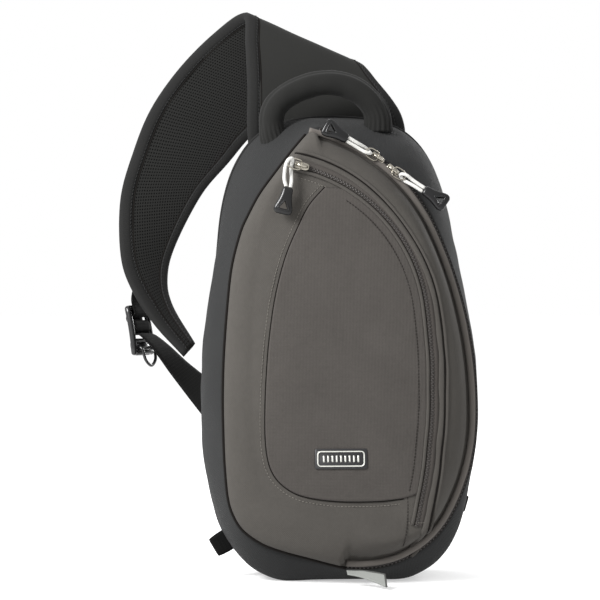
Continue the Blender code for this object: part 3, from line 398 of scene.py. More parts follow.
# ------------------------------------------------------------------ materials
class Shade:
    """Principled material, with short calls that add and link its nodes."""

    def __init__(self, name, colour, rough, metal=0.0):
        self.mat = bpy.data.materials.new(name)
        self.mat.use_nodes = True
        self.tree = self.mat.node_tree
        self.sockets = self.tree.nodes["Principled BSDF"].inputs
        self.set("Base Color", colour)
        self.set("Roughness", rough)
        self.set("Metallic", metal)
        self.mat.diffuse_color = (*colour, 1.0)

    def feed(self, socket, value):
        """A number or colour is set on the socket itself, anything else is linked to it."""
        if isinstance(value, (int, float)):
            socket.default_value = value
        elif isinstance(value, tuple):
            socket.default_value = (*value, 1.0)
        else:
            self.tree.links.new(value, socket)

    def set(self, socket, value):
        self.feed(self.sockets[socket], value)

    def add(self, kind, inputs=(), **values):
        """Node of that kind with its inputs fed in pairs of socket and value."""
        node = self.tree.nodes.new(kind)
        for key, value in values.items():
            setattr(node, key, value)
        for socket, value in inputs:
            self.feed(node.inputs[socket], value)
        return node

    def math(self, operation, first, second=None, clamp=False):
        pairs = [(0, first)] if second is None else [(0, first), (1, second)]
        return self.add("ShaderNodeMath", pairs, operation=operation, use_clamp=clamp).outputs[0]

    def place(self, uv):
        return self.add("ShaderNodeTexCoord").outputs["UV" if uv else "Object"]

    def split(self, place, uv=True):
        """x and y of a place, or x and z where there is no UV map."""
        x, y, z = self.add("ShaderNodeSeparateXYZ", [(0, place)]).outputs
        return x, y if uv else z

    def noise(self, vector, scale, detail=3.0, rough=0.55):
        return self.add("ShaderNodeTexNoise", (("Scale", scale), ("Detail", detail), ("Roughness", rough),
                                               ("Vector", vector))).outputs["Fac"]

    def wave(self, value, pitch):
        """0 to 1 wave of that pitch in metres."""
        turned = self.math("SINE", self.math("MULTIPLY", value, 2 * math.pi / pitch))
        return self.math("ADD", self.math("MULTIPLY", turned, 0.5), 0.5)

    def mix(self, factor, first, second):
        return self.add("ShaderNodeMix", (("Factor", factor), (6, first), (7, second)), data_type="RGBA").outputs[2]

    def bump(self, height, strength, distance, under=None):
        pairs = [("Strength", strength), ("Distance", distance), ("Height", height)]
        if under is not None:
            pairs.append(("Normal", under))
        out = self.add("ShaderNodeBump", pairs).outputs[0]
        self.set("Normal", out)
        return out


def scaled(colour, share, lift=0.0):
    """A brighter or darker colour."""
    return tuple(min(1.0, c * share + lift) for c in colour)


# thread pitch of each weave across and up; a twill's first threads run on the diagonal
WEAVES = {"plain": (1.0, 1.0), "ribs": (1.0, 1.7), "twill": (1.3, 0.62)}


def fabric(name, colour, pitch, depth, rough, vary, sheen, uv=True, kind="plain"):
    """Woven cloth: threads, slubs, faint soiling and soft unevenness."""
    s = Shade(name, colour, rough)
    where = s.place(uv)
    x, y = s.split(where, uv)
    warp, weft = (pitch * share for share in WEAVES[kind])
    if kind == "twill":
        threads = s.math("MULTIPLY", s.wave(s.math("ADD", x, y), warp), s.wave(x, weft))
    else:
        threads = s.math("MULTIPLY", s.wave(x, warp), s.wave(y, weft))
    grain = s.noise(where, scale=1400.0, detail=2.0, rough=0.6)
    slub = s.noise(where, scale=260.0, detail=3.0, rough=0.6)
    broad = s.noise(where, scale=14.0, detail=3.0, rough=0.5)
    tone = s.math("MULTIPLY", grain, 0.45)
    for part, weight in ((slub, 0.35), (broad, 0.35), (threads, 0.22)):
        tone = s.math("ADD", tone, s.math("MULTIPLY", part, weight))
    tone = s.math("SUBTRACT", tone, 0.12, clamp=True)
    s.set("Base Color", s.mix(tone, scaled(colour, 1.0 - vary), scaled(colour, 1.0 + vary)))
    s.set("Roughness", s.math("ADD", s.math("MULTIPLY", slub, 0.16), rough - 0.08))
    s.set("Sheen Weight", sheen)
    s.set("Sheen Roughness", 0.5)
    s.set("Specular IOR Level", 0.07)
    soft = s.bump(broad, strength=0.35, distance=0.0006)
    height = s.math("ADD", threads, s.math("MULTIPLY", grain, 0.5))
    s.bump(height, strength=0.55, distance=depth, under=soft)
    return s.mat


def mesh_fabric(name, colour):
    """Spacer mesh: knitted rows with small oval holes between them, the holes painted near-black as painted shade
    inside them.
    """
    s = Shade(name, colour, 0.85)
    where = s.place(True)
    x, y = s.split(where)
    drift = s.math("MULTIPLY", s.noise(where, scale=60.0, detail=2.0, rough=0.5), 0.0012)
    rows = s.wave(s.math("ADD", y, drift), 0.0030)
    hole = s.math("MULTIPLY", rows, s.wave(s.math("ADD", x, drift), 0.0023))
    edge = s.math("MULTIPLY", s.math("SUBTRACT", hole, 0.38, clamp=True), 3.4, clamp=True)
    tint = s.mix(s.noise(where, scale=1100.0), colour, scaled(colour, 2.3))
    # Painted shade: the holes are given a near-black colour for the shade inside them.
    s.set("Base Color", s.mix(edge, tint, scaled(colour, 0.08)))
    s.set("Sheen Weight", 0.02)
    s.set("Sheen Roughness", 0.45)
    s.set("Specular IOR Level", 0.06)
    s.bump(s.math("SUBTRACT", 1.0, edge), strength=0.8, distance=0.0009)
    return s.mat


def plastic(name, colour, rough, gloss, scratch=0.05):
    """Moulded plastic or rubber, faintly scuffed."""
    s = Shade(name, colour, rough)
    where = s.place(False)
    fine = s.noise(where, scale=900.0, detail=4.0, rough=0.6)
    wide = s.noise(where, scale=45.0, detail=3.0, rough=0.5)
    s.set("Base Color", s.mix(wide, colour, scaled(colour, 1.6, lift=0.004)))
    s.set("Roughness", s.math("ADD", s.math("MULTIPLY", wide, 0.14), rough - 0.05))
    s.set("Specular IOR Level", gloss)
    s.bump(fine, strength=0.15, distance=scratch * MM)
    return s.mat


def metal(name, colour, rough):
    """Plated metal with a fine grain."""
    s = Shade(name, colour, rough, 1.0)
    where = s.place(False)
    fine = s.noise(where, scale=1600.0, detail=4.0, rough=0.6)
    wide = s.noise(where, scale=90.0, detail=3.0, rough=0.5)
    s.set("Base Color", s.mix(wide, colour, scaled(colour, 0.72)))
    s.set("Roughness", s.math("ADD", s.math("MULTIPLY", fine, 0.18), rough - 0.05))
    s.bump(fine, strength=0.12, distance=0.00005)
    return s.mat


def cord_material(name, colour, pitch=0.0011):
    """Braided cord: two crossing sets of strands, with the gaps between them painted darker as painted shade."""
    s = Shade(name, colour, 0.75)
    x, y = s.split(s.place(True))
    braid = s.math("MAXIMUM", s.wave(s.math("ADD", x, y), pitch), s.wave(s.math("SUBTRACT", x, y), pitch))
    # Painted shade: the gaps between the strands are given a darker colour.
    s.set("Base Color", s.mix(braid, scaled(colour, 0.62), colour))
    s.set("Sheen Weight", 0.3)
    s.bump(braid, strength=0.7, distance=0.00025)
    return s.mat


# fabrics: name, colour, thread pitch and depth (metres), roughness, variation, sheen
M = {}
M["taupe"] = fabric("taupe_cloth", (0.0470, 0.0437, 0.0395), 0.0012, 0.0005, 0.78, 0.36, 0.02, kind="twill")
M["face"] = fabric("pocket_cloth", (0.0418, 0.0381, 0.0350), 0.0012, 0.0005, 0.78, 0.36, 0.02)
M["welt"] = fabric("welt_cloth", (0.088, 0.080, 0.0730), 0.0009, 0.0002, 0.76, 0.18, 0.02)
M["black"] = fabric("black_cloth", (0.0158, 0.0161, 0.0163), 0.0012, 0.0005, 0.82, 0.34, 0.025)
M["strap"] = fabric("strap_cloth", (0.0140, 0.0140, 0.0132), 0.0008, 0.00016, 0.85, 0.22, 0.03)
M["handle"] = fabric("handle_neoprene", (0.0105, 0.0105, 0.0100), 0.0007, 0.00012, 0.86, 0.22, 0.04)
M["binding"] = fabric("binding_cloth", (0.0105, 0.0105, 0.0103), 0.0011, 0.0002, 0.78, 0.22, 0.025, kind="ribs")
M["webbing"] = fabric("webbing_cloth", (0.0026, 0.0026, 0.0025), 0.0019, 0.0004, 0.8, 0.3, 0.01, kind="ribs")
M["mesh"] = mesh_fabric("spacer_mesh", (0.0068, 0.0068, 0.0065))
M["pad_mesh"] = mesh_fabric("pad_mesh", (0.0240, 0.0240, 0.0244))
M["lining"] = fabric("grey_lining", (0.13, 0.13, 0.135), 0.0013, 0.0002, 0.85, 0.12, 0.05)
M["divider"] = fabric("divider_cloth", (0.11, 0.11, 0.117), 0.0014, 0.0003, 0.9, 0.15, 0.1)
M["tape"] = fabric("zip_tape", (0.012, 0.0108, 0.0102), 0.0009, 0.0002, 0.8, 0.2, 0.02, kind="ribs")
M["pocket_tape"] = fabric("pocket_zip_tape", (0.040, 0.036, 0.033), 0.0009, 0.0002, 0.8, 0.2, 0.02, kind="ribs")
M["coil"] = plastic("coil_nylon", (0.014, 0.0115, 0.0105), 0.42, 0.3)
M["pocket_coil"] = plastic("pocket_coil_nylon", (0.020, 0.0175, 0.016), 0.45, 0.3)
# seam_shadow is near-black cloth for thin tubes laid in seams, grooves and creases: painted shadow where the cloth
# folds in.
M["seam"] = fabric("seam_shadow", (0.006, 0.0052, 0.0047), 0.0008, 0.0001, 0.9, 0.1, 0.0, uv=False)
M["thread_dark"] = fabric("dark_thread", (0.020, 0.018, 0.0165), 0.0008, 0.0001, 0.8, 0.1, 0.0, uv=False)
M["thread"] = fabric("stitch_thread", (0.100, 0.093, 0.083), 0.0008, 0.0001, 0.7, 0.1, 0.02, uv=False)
M["thread_black"] = fabric("black_thread", (0.024, 0.024, 0.024), 0.0008, 0.0001, 0.7, 0.1, 0.02, uv=False)
M["plastic"] = plastic("buckle_plastic", (0.005, 0.005, 0.0052), 0.2, 0.45)
M["toggle"] = plastic("toggle_rubber", (0.0035, 0.0035, 0.0037), 0.2, 0.26, 0.03)
M["nickel"] = metal("nickel_metal", (0.37, 0.345, 0.295), 0.24)
M["silver_frame"] = metal("badge_metal", (0.62, 0.62, 0.58), 0.4)
M["badge"] = plastic("badge_black", (0.010, 0.010, 0.0105), 0.45, 0.25)
M["cord"] = cord_material("cord_braid", (0.50, 0.495, 0.47))
M["ribbon"] = fabric("silver_ribbon", (0.165, 0.17, 0.162), 0.0009, 0.0002, 0.6, 0.12, 0.05, kind="ribs")
M["ribbon_edge"] = fabric("ribbon_edge", (0.05, 0.05, 0.048), 0.0009, 0.0002, 0.7, 0.12, 0.02, kind="ribs")


# ------------------------------------------------------------------ mesh helpers
def link(name, data):
    """Object added to the scene."""
    obj = bpy.data.objects.new(name, data)
    bpy.context.scene.collection.objects.link(obj)
    return obj


def rework(mesh, change):
    """Runs one bmesh operator over all the faces of a mesh."""
    bm = bmesh.new()
    bm.from_mesh(mesh)
    change(bm, faces=bm.faces)
    bm.to_mesh(mesh)
    bm.free()


def smooth(mesh):
    mesh.polygons.foreach_set("use_smooth", [True] * len(mesh.polygons))


def points_of(mesh):
    return np.array([v.co for v in mesh.vertices], float)


def piece(name, verts, faces, mats, uvs=None, indices=None, turn=True):
    """Object from points, faces and per-corner lengths used as texture coordinates; turn faces it outward."""
    mesh = bpy.data.meshes.new(name)
    mesh.from_pydata([tuple(v) for v in verts], [], faces)
    for mat in (mats if isinstance(mats, tuple) else (mats,)):
        mesh.materials.append(mat)
    if uvs is not None:
        layer = mesh.uv_layers.new(name="UVMap")
        layer.data.foreach_set("uv", np.array([uvs[loop.vertex_index] for loop in mesh.loops], float).ravel())
    if indices is not None:
        mesh.polygons.foreach_set("material_index", indices)
    smooth(mesh)
    if turn:
        rework(mesh, bmesh.ops.recalc_face_normals)
    return link(name, mesh)


def bake(obj):
    """Applies every modifier."""
    bpy.context.view_layer.update()
    graph = bpy.context.evaluated_depsgraph_get()
    mesh = bpy.data.meshes.new_from_object(obj.evaluated_get(graph), depsgraph=graph)
    obj.modifiers.clear()
    obj.data = mesh
    return obj


def subdivide(obj, levels=1):
    sub = obj.modifiers.new("round", "SUBSURF")
    sub.levels = levels
    sub.render_levels = levels


def skin(name, rows, mats, caps=True, loop=False, index_of=None):
    """Surface round closed rows of (point, texture place); loop joins the last row to the first."""
    n = len(rows[0])
    m = len(rows)
    pairs = [pair for row in rows for pair in row]
    faces = []
    indices = []
    for i in range(m if loop else m - 1):
        for k in range(n):
            a = i * n
            c = ((i + 1) % m) * n
            faces.append((a + k, a + (k + 1) % n, c + (k + 1) % n, c + k))
            indices.append(index_of(k) if index_of else 0)
    if caps:
        faces.append(tuple(range(n)))
        faces.append(tuple(range((m - 1) * n, m * n)))
        indices += [0, 0]
    return piece(name, [p for p, uv in pairs], faces, mats, [uv for p, uv in pairs], indices)


def drape(name, loop, mats, lift, rings, count, thick, rim=0.0, wander=0.8, power=2.2):
    """Cloth panel that follows the lid, thick like padded fabric."""
    ring_uv = resample(clean(loop), count)
    mid = ring_uv.mean(axis=0)
    verts = []
    uvs = []
    faces = []
    for i in range(rings):
        s = 1.0 - (i / rings) ** power if i else 1.0
        for p in ring_uv:
            u, v = mid + (p - mid) * s
            reach = math.hypot(*(p - mid)) * (1.0 - s)
            h = crown(u, v) + lift
            if rim > 0.0:
                h -= rim * (1.0 - math.sqrt(1.0 - (1.0 - min(1.0, reach / rim)) ** 2))
            h += sway((u, v, 3.0), 34.0, wander) * min(1.0, reach / 12.0)
            h += sway((u, v, 9.0), 11.0, wander * 0.35) * min(1.0, reach / 6.0)
            low = max(0.0, 1.0 - v / 190.0)
            slant = (u * 0.55 + v * 0.84, (u - v) * 0.22, 21.0)
            h += sway(slant, 9.0, wander * 0.8 * low) * min(1.0, reach / 10.0)
            verts.append(lid(u, v, h))
            uvs.append((u * MM, v * MM))
    verts.append(lid(*mid, crown(*mid) + lift + sway((*mid, 3.0), 34.0, wander)))
    uvs.append((mid[0] * MM, mid[1] * MM))
    for a in range((rings - 1) * count):
        b = a + 1 if (a + 1) % count else a + 1 - count
        faces.append((a, b, b + count, a + count))
    last = (rings - 1) * count
    for k in range(count):
        faces.append((last + k, last + (k + 1) % count, len(verts) - 1))
    obj = piece(name, verts, faces, mats, uvs)
    if sum(Vector(p.normal).dot(LID_OUT) * p.area for p in obj.data.polygons) < 0:
        rework(obj.data, bmesh.ops.reverse_faces)
    mod = obj.modifiers.new("thick", "SOLIDIFY")
    mod.thickness = thick * MM
    mod.offset = -1.0
    mod.material_offset = len(mats) - 1
    return bake(obj)


# frames of a line: centre, tangent, side and up at each point
def path_frames(points, up=(0.0, 0.0, 1.0)):
    """Frames along world points."""
    out = []
    for i, p in enumerate(points):
        t = ahead(points, i)
        side = t.cross(Vector(up))
        if side.length < 0.05:
            side = t.cross(Vector((0.0, 1.0, 0.0)))
        side.normalize()
        out.append((p, t, side, side.cross(t).normalized()))
    return out


def ring_frames(points, up):
    """Frames round a closed line of world points, the first repeated at the end."""
    out = []
    count = len(points)
    for i in range(count + 1):
        t = (points[(i + 1) % count] - points[(i - 1) % count]).normalized()
        out.append((points[i % count], t, t.cross(up).normalized(), up))
    return out


def frames_along(path, height):
    """Frames along a lid path."""
    return path_frames([lid(p[0], p[1], height(p[0], p[1])) for p in path], LID_OUT)


def measured(frames):
    """Each frame with the running length to it."""
    return zip(runs([frame_at[0] for frame_at in frames]), frames)


def tube(name, frames, radius, mat, sides=12, flat=1.0, ripple=0.0, caps=True):
    """Round piping along frames."""
    rows = []
    for i, (run, (p, t, side, up)) in enumerate(measured(frames)):
        r = radius(i) if callable(radius) else radius
        r *= 1.0 + ripple * noise.noise(Vector((run * 90.0, 0.3, 0.7)))
        rows.append([(p + side * (math.cos(a) * r) + up * (math.sin(a) * r * flat), (a * r, run))
                     for a in around(sides)])
    return skin(name, rows, mat, caps)


TAPE_THICK = 0.7 * MM
TAPE_SECTION = ((-1, 0), (-0.5, 0), (0.5, 0), (1, 0), (1, 1), (0.5, 1), (-0.5, 1), (-1, 1))


def tape(name, frames, half_width, mat):
    """Flat strip with squared edges along frames."""
    return skin(name, [[(p + side * (sw * half_width) + up * (sh * TAPE_THICK), (sw * half_width, run))
                        for sw, sh in TAPE_SECTION] for run, (p, t, side, up) in measured(frames)], mat)


BEAD = [(end, y, z) for end in (-1, 1)
        for y, z in ((-1, -0.5), (-0.5, -1), (0.5, -1), (1, -0.5), (1, 0.5), (0.5, 1), (-0.5, 1), (-1, 0.5))]


def beads(name, places, size, mat):
    """Many small rounded blocks, one on each frame."""
    verts = []
    faces = []
    for p, t, side, up in places:
        base = len(verts)
        for x, y, z in BEAD:
            verts.append(p + t * (x * size[0] / 2) + side * (y * size[1] / 2) + up * (z * size[2] / 2))
        faces.append(tuple(base + k for k in range(7, -1, -1)))
        faces.append(tuple(base + 8 + k for k in range(8)))
        for k in range(8):
            faces.append((base + k, base + (k + 1) % 8, base + 8 + (k + 1) % 8, base + 8 + k))
    return piece(name, verts, faces, mat, turn=False)


def stitch_row(name, frames, mat, pitch, length, width=0.55):
    """Lock-stitch seam: one short raised thread per stitch."""
    points = [frame_at[0] for frame_at in frames]
    lengths = runs(points)
    places = []
    for k in range(int(lengths[-1] / (pitch * MM))):
        run = (k + 0.5) * pitch * MM
        i = min(max(int(np.searchsorted(lengths, run)), 1), len(points) - 1)
        share = (run - lengths[i - 1]) / max(1e-9, lengths[i] - lengths[i - 1])
        places.append((points[i - 1].lerp(points[i], share), *frames[i][1:]))
    return beads(name, places, (length * MM, width * MM, width * MM), mat)


def teeth(name, path, height, mat, pitch, across, tall):
    """Interleaved coil turns of a zip."""
    places = []
    for k, (p, t, side, up) in enumerate(frames_along(evenly(path, pitch), height)):
        places.append((p + side * (0.45 * MM * (1 if k % 2 else -1)), t, side, up))
    return beads(name, places, (pitch * 0.74 * MM, across * MM, tall * MM), mat)


def join(name, objects):
    """One piece out of several closed shells of the same material."""
    bm = bmesh.new()
    for obj in objects:
        bm.from_mesh(obj.data)
    mesh = bpy.data.meshes.new(name)
    bm.to_mesh(mesh)
    bm.free()
    mesh.materials.append(objects[0].data.materials[0])
    for obj in objects:
        bpy.data.objects.remove(obj)
    return link(name, mesh)


HINGE_RUN = (lid(*HINGE_HEAD, 0) - lid(*HINGE_FOOT, 0)).normalized()
HINGE_ACROSS = HINGE_RUN.cross(LID_OUT).normalized()
if HINGE_ACROSS.x < 0:
    HINGE_ACROSS = -HINGE_ACROSS


def fold(obj, slot, *nodes):
    """The piece stands for these CAD nodes, which are hidden, and has its transform baked into its points."""
    if nodes:
        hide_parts(*nodes)
    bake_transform(obj)


def keep(obj, slot, *nodes, body="bag"):
    """The piece stands for these CAD nodes and rides on one body."""
    if nodes:
        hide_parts(*nodes)
    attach(obj, body)


# ------------------------------------------------------------------ lid and pocket face
fold(drape("lid_cloth", cloth_loop, (M["taupe"], M["lining"]), 0.0, rings=34, count=320, thick=2.2),
     "taupe_nylon", "front_panel_fixed", "front_flap")
face_side = np.array([p for p in pocket_line(4.9) if p[0] > -7.0 and p[1] > 75.0])
face_loop = np.vstack((face_side, spline(PANEL_LEFT, 6)[::-1]))
fold(drape("pocket_face_cloth", face_loop, (M["face"],), 2.2, rings=30, count=220, thick=1.8, rim=1.5),
     "taupe_pocket", "pocket_face_fixed", "pocket_face_flap")
pocket_path = evenly(pocket_line(), 2.0)
fold(tape("pocket_zip_tape", frames_along(pocket_path, on_lid(0.5)), 5.4 * MM, M["pocket_tape"]),
     "zip_coil", "pocket_zip_tape_fixed", "pocket_zip_tape_flap")
fold(teeth("pocket_zip_teeth", pocket_path, on_lid(1.45), M["pocket_coil"], pitch=1.5, across=2.3, tall=0.9),
     "zip_coil", "pocket_zip_coil_fixed", "pocket_zip_coil_flap")
fold(tube("pocket_welt_cloth", frames_along(evenly(pocket_line(3.9), 2.5), on_lid(1.5)), 1.5 * MM, M["taupe"],
          flat=0.8, ripple=0.08), "welt_binding", "pocket_welt_fixed", "pocket_welt_flap")


def outer_edge(wide, close, extra):
    """Path outside the pocket zip that closes in on the coil round the upper bend, then runs to the hem."""
    base = evenly(pocket_line(), 2.5)
    out = []
    total = len(base) - 1
    for i, p in enumerate(base):
        t = base[min(total, i + 1)] - base[max(0, i - 1)]
        t = t / np.hypot(*t)
        near = math.exp(-((i / total - 0.30) / 0.16) ** 2)
        out.append(p + np.array((t[1], -t[0])) * (wide + (close - wide) * near))
    last = out[-1]
    step = out[-1] - out[-5]
    step = step / np.hypot(*step)
    for k in range(1, extra):
        turn = math.radians(-0.6 * k)
        step = np.array((step[0] * math.cos(turn) - step[1] * math.sin(turn),
                         step[0] * math.sin(turn) + step[1] * math.cos(turn)))
        last = last + step * 2.5
        out.append(last)
    return np.array(out)


panel_edge = spline(PANEL_LEFT)
# The pocket and panel seam tubes use seam_shadow: painted shadow lines in the grooves beside the pocket zip and along
# the pocket panel's edge.
for name, path, lift, radius, mat, sides, flat, ripple, slot in (
        ("pocket_outer_lip", outer_edge(-7.6, -4.4, 11), 0.75, 2.5, "taupe", 12, 0.42, 0.08, "taupe_nylon"),
        ("pocket_outer_seam_shadow", outer_edge(-10.9, -6.9, 12), 0.5, 0.85, "seam", 8, 1.0, 0.0, "taupe_nylon"),
        ("pocket_outer_band", outer_edge(-12.9, -8.9, 12), 0.5, 1.5, "taupe", 10, 0.5, 0.1, "taupe_nylon"),
        ("pocket_inner_seam_shadow", evenly(pocket_line(2.4), 2.5), 1.2, 0.6, "seam", 8, 1.0, 0.0, "taupe_pocket"),
        ("panel_seam_shadow", evenly(beside(panel_edge, -0.35), 2.0), 0.55, 0.6, "seam", 8, 1.0, 0.0, "taupe_pocket")):
    fold(tube(name, frames_along(path, on_lid(lift)), radius * MM, M[mat], sides, flat, ripple), slot)

# ------------------------------------------------------------------ top stitching on the front
inner_row = np.array([p for p in evenly(pocket_line(12.0), 2.0) if p[0] > -4.0 and p[1] > 76.0])
upper_row = np.array([p for p in evenly(pocket_line(10.0), 2.0) if -42.0 < p[0] < -16.0])
row_end = inner_row[-1]
lower_row = np.array([(row_end[0] - 0.8 - 0.006 * k * k, row_end[1] - 4.0 - 2.0 * k) for k in range(22)])
bar_path = np.array([(pocket_path[-1][0] - 7.0 + k, pocket_path[-1][1] + 2.5) for k in range(15)])
for name, path, lift, mat, pitch, length, width, slot in (
        ("panel_stitches", evenly(beside(panel_edge, -4.2), 2.0), 0.2, "thread", 3.0, 2.0, 0.6, "taupe_nylon"),
        ("pocket_edge_stitches", inner_row, 2.2, "thread_dark", 2.8, 1.9, 0.9, "taupe_pocket"),
        ("pocket_top_stitches", upper_row, 0.2, "thread", 3.0, 2.0, 0.55, "taupe_nylon"),
        ("lower_edge_stitches", lower_row, 0.2, "thread_dark", 2.8, 1.9, 0.8, "taupe_nylon"),
        ("pocket_bar_stitches", bar_path, 1.45, "thread", 2.0, 1.5, 0.55, "taupe_nylon")):
    fold(stitch_row(name, frames_along(path, on_lid(lift)), M[mat], pitch, length, width), slot)

left_line = np.array([p for p in seam_left if p[1] < 384.0 and p[0] < 2.0])
# Painted shadow: a near-black tube laid in the groove of the left seam.
keep(tube("left_seam_shadow_line", frames_along(evenly(beside(left_line, -0.3), 3.0), level(0.5)), 1.25 * MM, M["seam"], 8),
     "black_nylon")

# ------------------------------------------------------------------ main zip
main_path = evenly(zip_line(COIL_INSET), 2.0)
keep(tape("main_zip_tape_cloth", frames_along(main_path, level(-1.4)), 2.9 * MM, M["tape"]),
     "zip_coil", "main_zip_tape")
keep(teeth("main_zip_teeth", main_path, level(0.2), M["coil"], pitch=1.7, across=3.4, tall=1.3),
     "zip_coil", "main_zip_coil")
welt_path = evenly(chain_inside(WELT_INSET - 2.9, low=4.0, span=30.0), 2.5)
fold(tube("main_welt_cloth", frames_along(welt_path, level(1.9)), 2.7 * MM, M["welt"], 14, flat=0.72, ripple=0.06),
     "welt_binding", "welt_fixed_top", "welt_flap", "welt_fixed_base")
# Painted shadow: a near-black tube in the groove beside the welt.
fold(tube("main_welt_seam_shadow", frames_along(evenly(cloth_chain, 2.5)[:-8], level(1.4)), 0.8 * MM, M["seam"], 8),
     "welt_binding")

# ------------------------------------------------------------------ side gusset, yoke, base and lining
THETA_STEPS = 300
SPANS = 22
WALL = 4.6


def gusset_skin():
    """Closed side wall: soft cloth outside, lining inside."""
    rows = []
    for theta in around(THETA_STEPS):
        away = Vector((math.cos(theta), 0.0, math.sin(theta)))
        row = []
        for k in range(SPANS + 1):
            s = k / SPANS
            p = gusset_point(theta, s, 0.0)
            calm = math.sin(math.pi * s) * held(p.z / 0.03)
            soft = sway(p * 1000.0, 42.0, 1.3) + sway(p * 1000.0 + Vector((5, 5, 5)), 17.0, 0.55)
            row.append((p + away * soft * MM * calm, (theta * 0.165, s * 0.10)))
        for k in range(SPANS, -1, -1):
            row.append((gusset_point(theta, k / SPANS, WALL), (theta * 0.165, k / SPANS * 0.10)))
        rows.append(row)
    return skin("gusset_cloth", rows, (M["black"], M["lining"]), caps=False, loop=True,
                index_of=lambda k: 0 if k < SPANS or k == 2 * SPANS + 1 else 1)


keep(gusset_skin(), "black_nylon", "gusset_left", "gusset_right", "top_yoke", "base_panel")


def plate(name, loop, levels, mat):
    """Flat panel parallel to the back: levels are (depth, inset)."""
    mid = loop.mean(axis=0)
    rows = []
    for depth, inset in levels:
        row = []
        for p in loop:
            size = math.hypot(*(p - mid))
            q = mid + (p - mid) * max(0.0, size - inset) / size
            row.append((Vector((q[0] * MM, depth * MM, q[1] * MM)), (q[0] * MM, q[1] * MM)))
        rows.append(row)
    return skin(name, rows, mat)


back_ring = resample(back_loop, 220)
keep(plate("back_panel_cloth", back_ring, (
    (BACK_Y + 0.3, 3.0), (BACK_Y + 0.8, 0.8), (BACK_Y + 2.5, 0.1), (BACK_Y + 5.0, 0.2), (BACK_Y + 7.0, 1.5),
    (BACK_Y + 7.9, 4.0), (BACK_Y + 8.0, 9.0)), M["pad_mesh"]), "black_nylon", "back_panel")
back_rim = [Vector((p[0] * MM, (BACK_Y + 0.2) * MM, p[1] * MM)) for p in back_ring]
keep(tube("back_piping", ring_frames(back_rim, Vector((0, -1, 0))), 2.0 * MM, M["binding"], 10, caps=False),
     "black_nylon")


# ------------------------------------------------------------------ cushions swollen by cloth simulation
def swell(obj, voxel=4.0, pressure=3.0, most=3.0, frames_run=20):
    """Remeshes a cushion and inflates it with a short cloth simulation."""
    remesh = obj.modifiers.new("even", "REMESH")
    remesh.mode = "VOXEL"
    remesh.voxel_size = voxel * MM
    bake(obj)
    start_at = points_of(obj.data)
    scene = bpy.context.scene
    cloth = obj.modifiers.new("cloth", "CLOTH")
    cloth.settings.use_pressure = True
    cloth.settings.uniform_pressure_force = pressure
    cloth.settings.effector_weights.gravity = 0.0
    cloth.settings.quality = 5
    cloth.point_cache.frame_start = 1
    cloth.point_cache.frame_end = frames_run
    for k in range(1, frames_run + 1):
        scene.frame_set(k)
    graph = bpy.context.evaluated_depsgraph_get()
    mesh = bpy.data.meshes.new_from_object(obj.evaluated_get(graph), depsgraph=graph)
    move = points_of(mesh) - start_at
    size = np.linalg.norm(move, axis=1)
    share = np.where(size > most * MM, most * MM / np.maximum(size, 1e-9), 1.0)
    obj.modifiers.clear()
    obj.data.vertices.foreach_set("co", (start_at + move * share[:, None]).ravel())
    scene.frame_set(1)
    smooth(obj.data)


def cushion(name, node, centre, size, depth):
    """Back cushion with a cross of quilting grooves."""
    cx, cz = centre
    ring = []
    for a in around(96):
        x, z = squarish(a, 0.45, 0.45)
        ring.append((cx + (size[0] / 2 - 2) * x, cz + (size[1] / 2 - 2) * z))
    y0 = BACK_Y + BACK_THICK + 0.3
    obj = plate(name, np.array(ring), ((y0, 1.0), (y0 + 1.0, 0.0), (y0 + depth * 0.5, 0.0), (y0 + depth * 0.78, 4.0),
                                       (y0 + depth * 0.88, 12.0)), M["pad_mesh"])
    swell(obj)
    co = points_of(obj.data)
    groove = np.exp(-((co[:, 2] / MM - cz) / 2.6) ** 2) * 2.6 + np.exp(-((co[:, 0] / MM - cx) / 2.2) ** 2) * 1.2
    co[:, 1] -= groove * np.clip((co[:, 1] / MM - y0 - 1.5) / 4.0, 0.0, 1.0) * MM
    co[:, 1] = np.maximum(co[:, 1], y0 * MM)
    obj.data.vertices.foreach_set("co", co.ravel())
    subdivide(obj)
    bake(obj)
    mesh = obj.data
    mesh.materials.clear()
    mesh.materials.append(M["pad_mesh"])
    co = points_of(mesh)
    layer = mesh.uv_layers.get("UVMap") or mesh.uv_layers.new(name="UVMap")
    layer.data.foreach_set("uv", np.array([co[loop.vertex_index][[0, 2]] for loop in mesh.loops]).ravel())
    keep(obj, "spacer_mesh", node)


cushion("shoulder_cushion_left", "back_pad_left", (-47.0, 268.0), (78.0, 120.0), 11.0)
cushion("shoulder_cushion_right", "back_pad_right", (47.0, 268.0), (78.0, 120.0), 11.0)
cushion("lumbar_cushion", "lumbar_pad", (0.0, 108.0), (146.0, 110.0), 13.0)


# ------------------------------------------------------------------ shoulder strap
def strap_stations():
    """Left edge, way across, width, normal, tangent and running length along the strap."""
    left = spline([s[0] for s in STRAP_SECTIONS], 9)
    right = spline([s[1] for s in STRAP_SECTIONS], 9)
    middle = [Vector(p) / 2 for p in left + right]
    out = []
    for i, run in enumerate(runs(middle)):
        a = Vector(left[i])
        across = Vector(right[i]) - a
        width = across.length
        across.normalize()
        t = ahead(left + right, i)
        out.append((a, across, width, across.cross(t).normalized(), t, run))
    return out


STRAP = strap_stations()


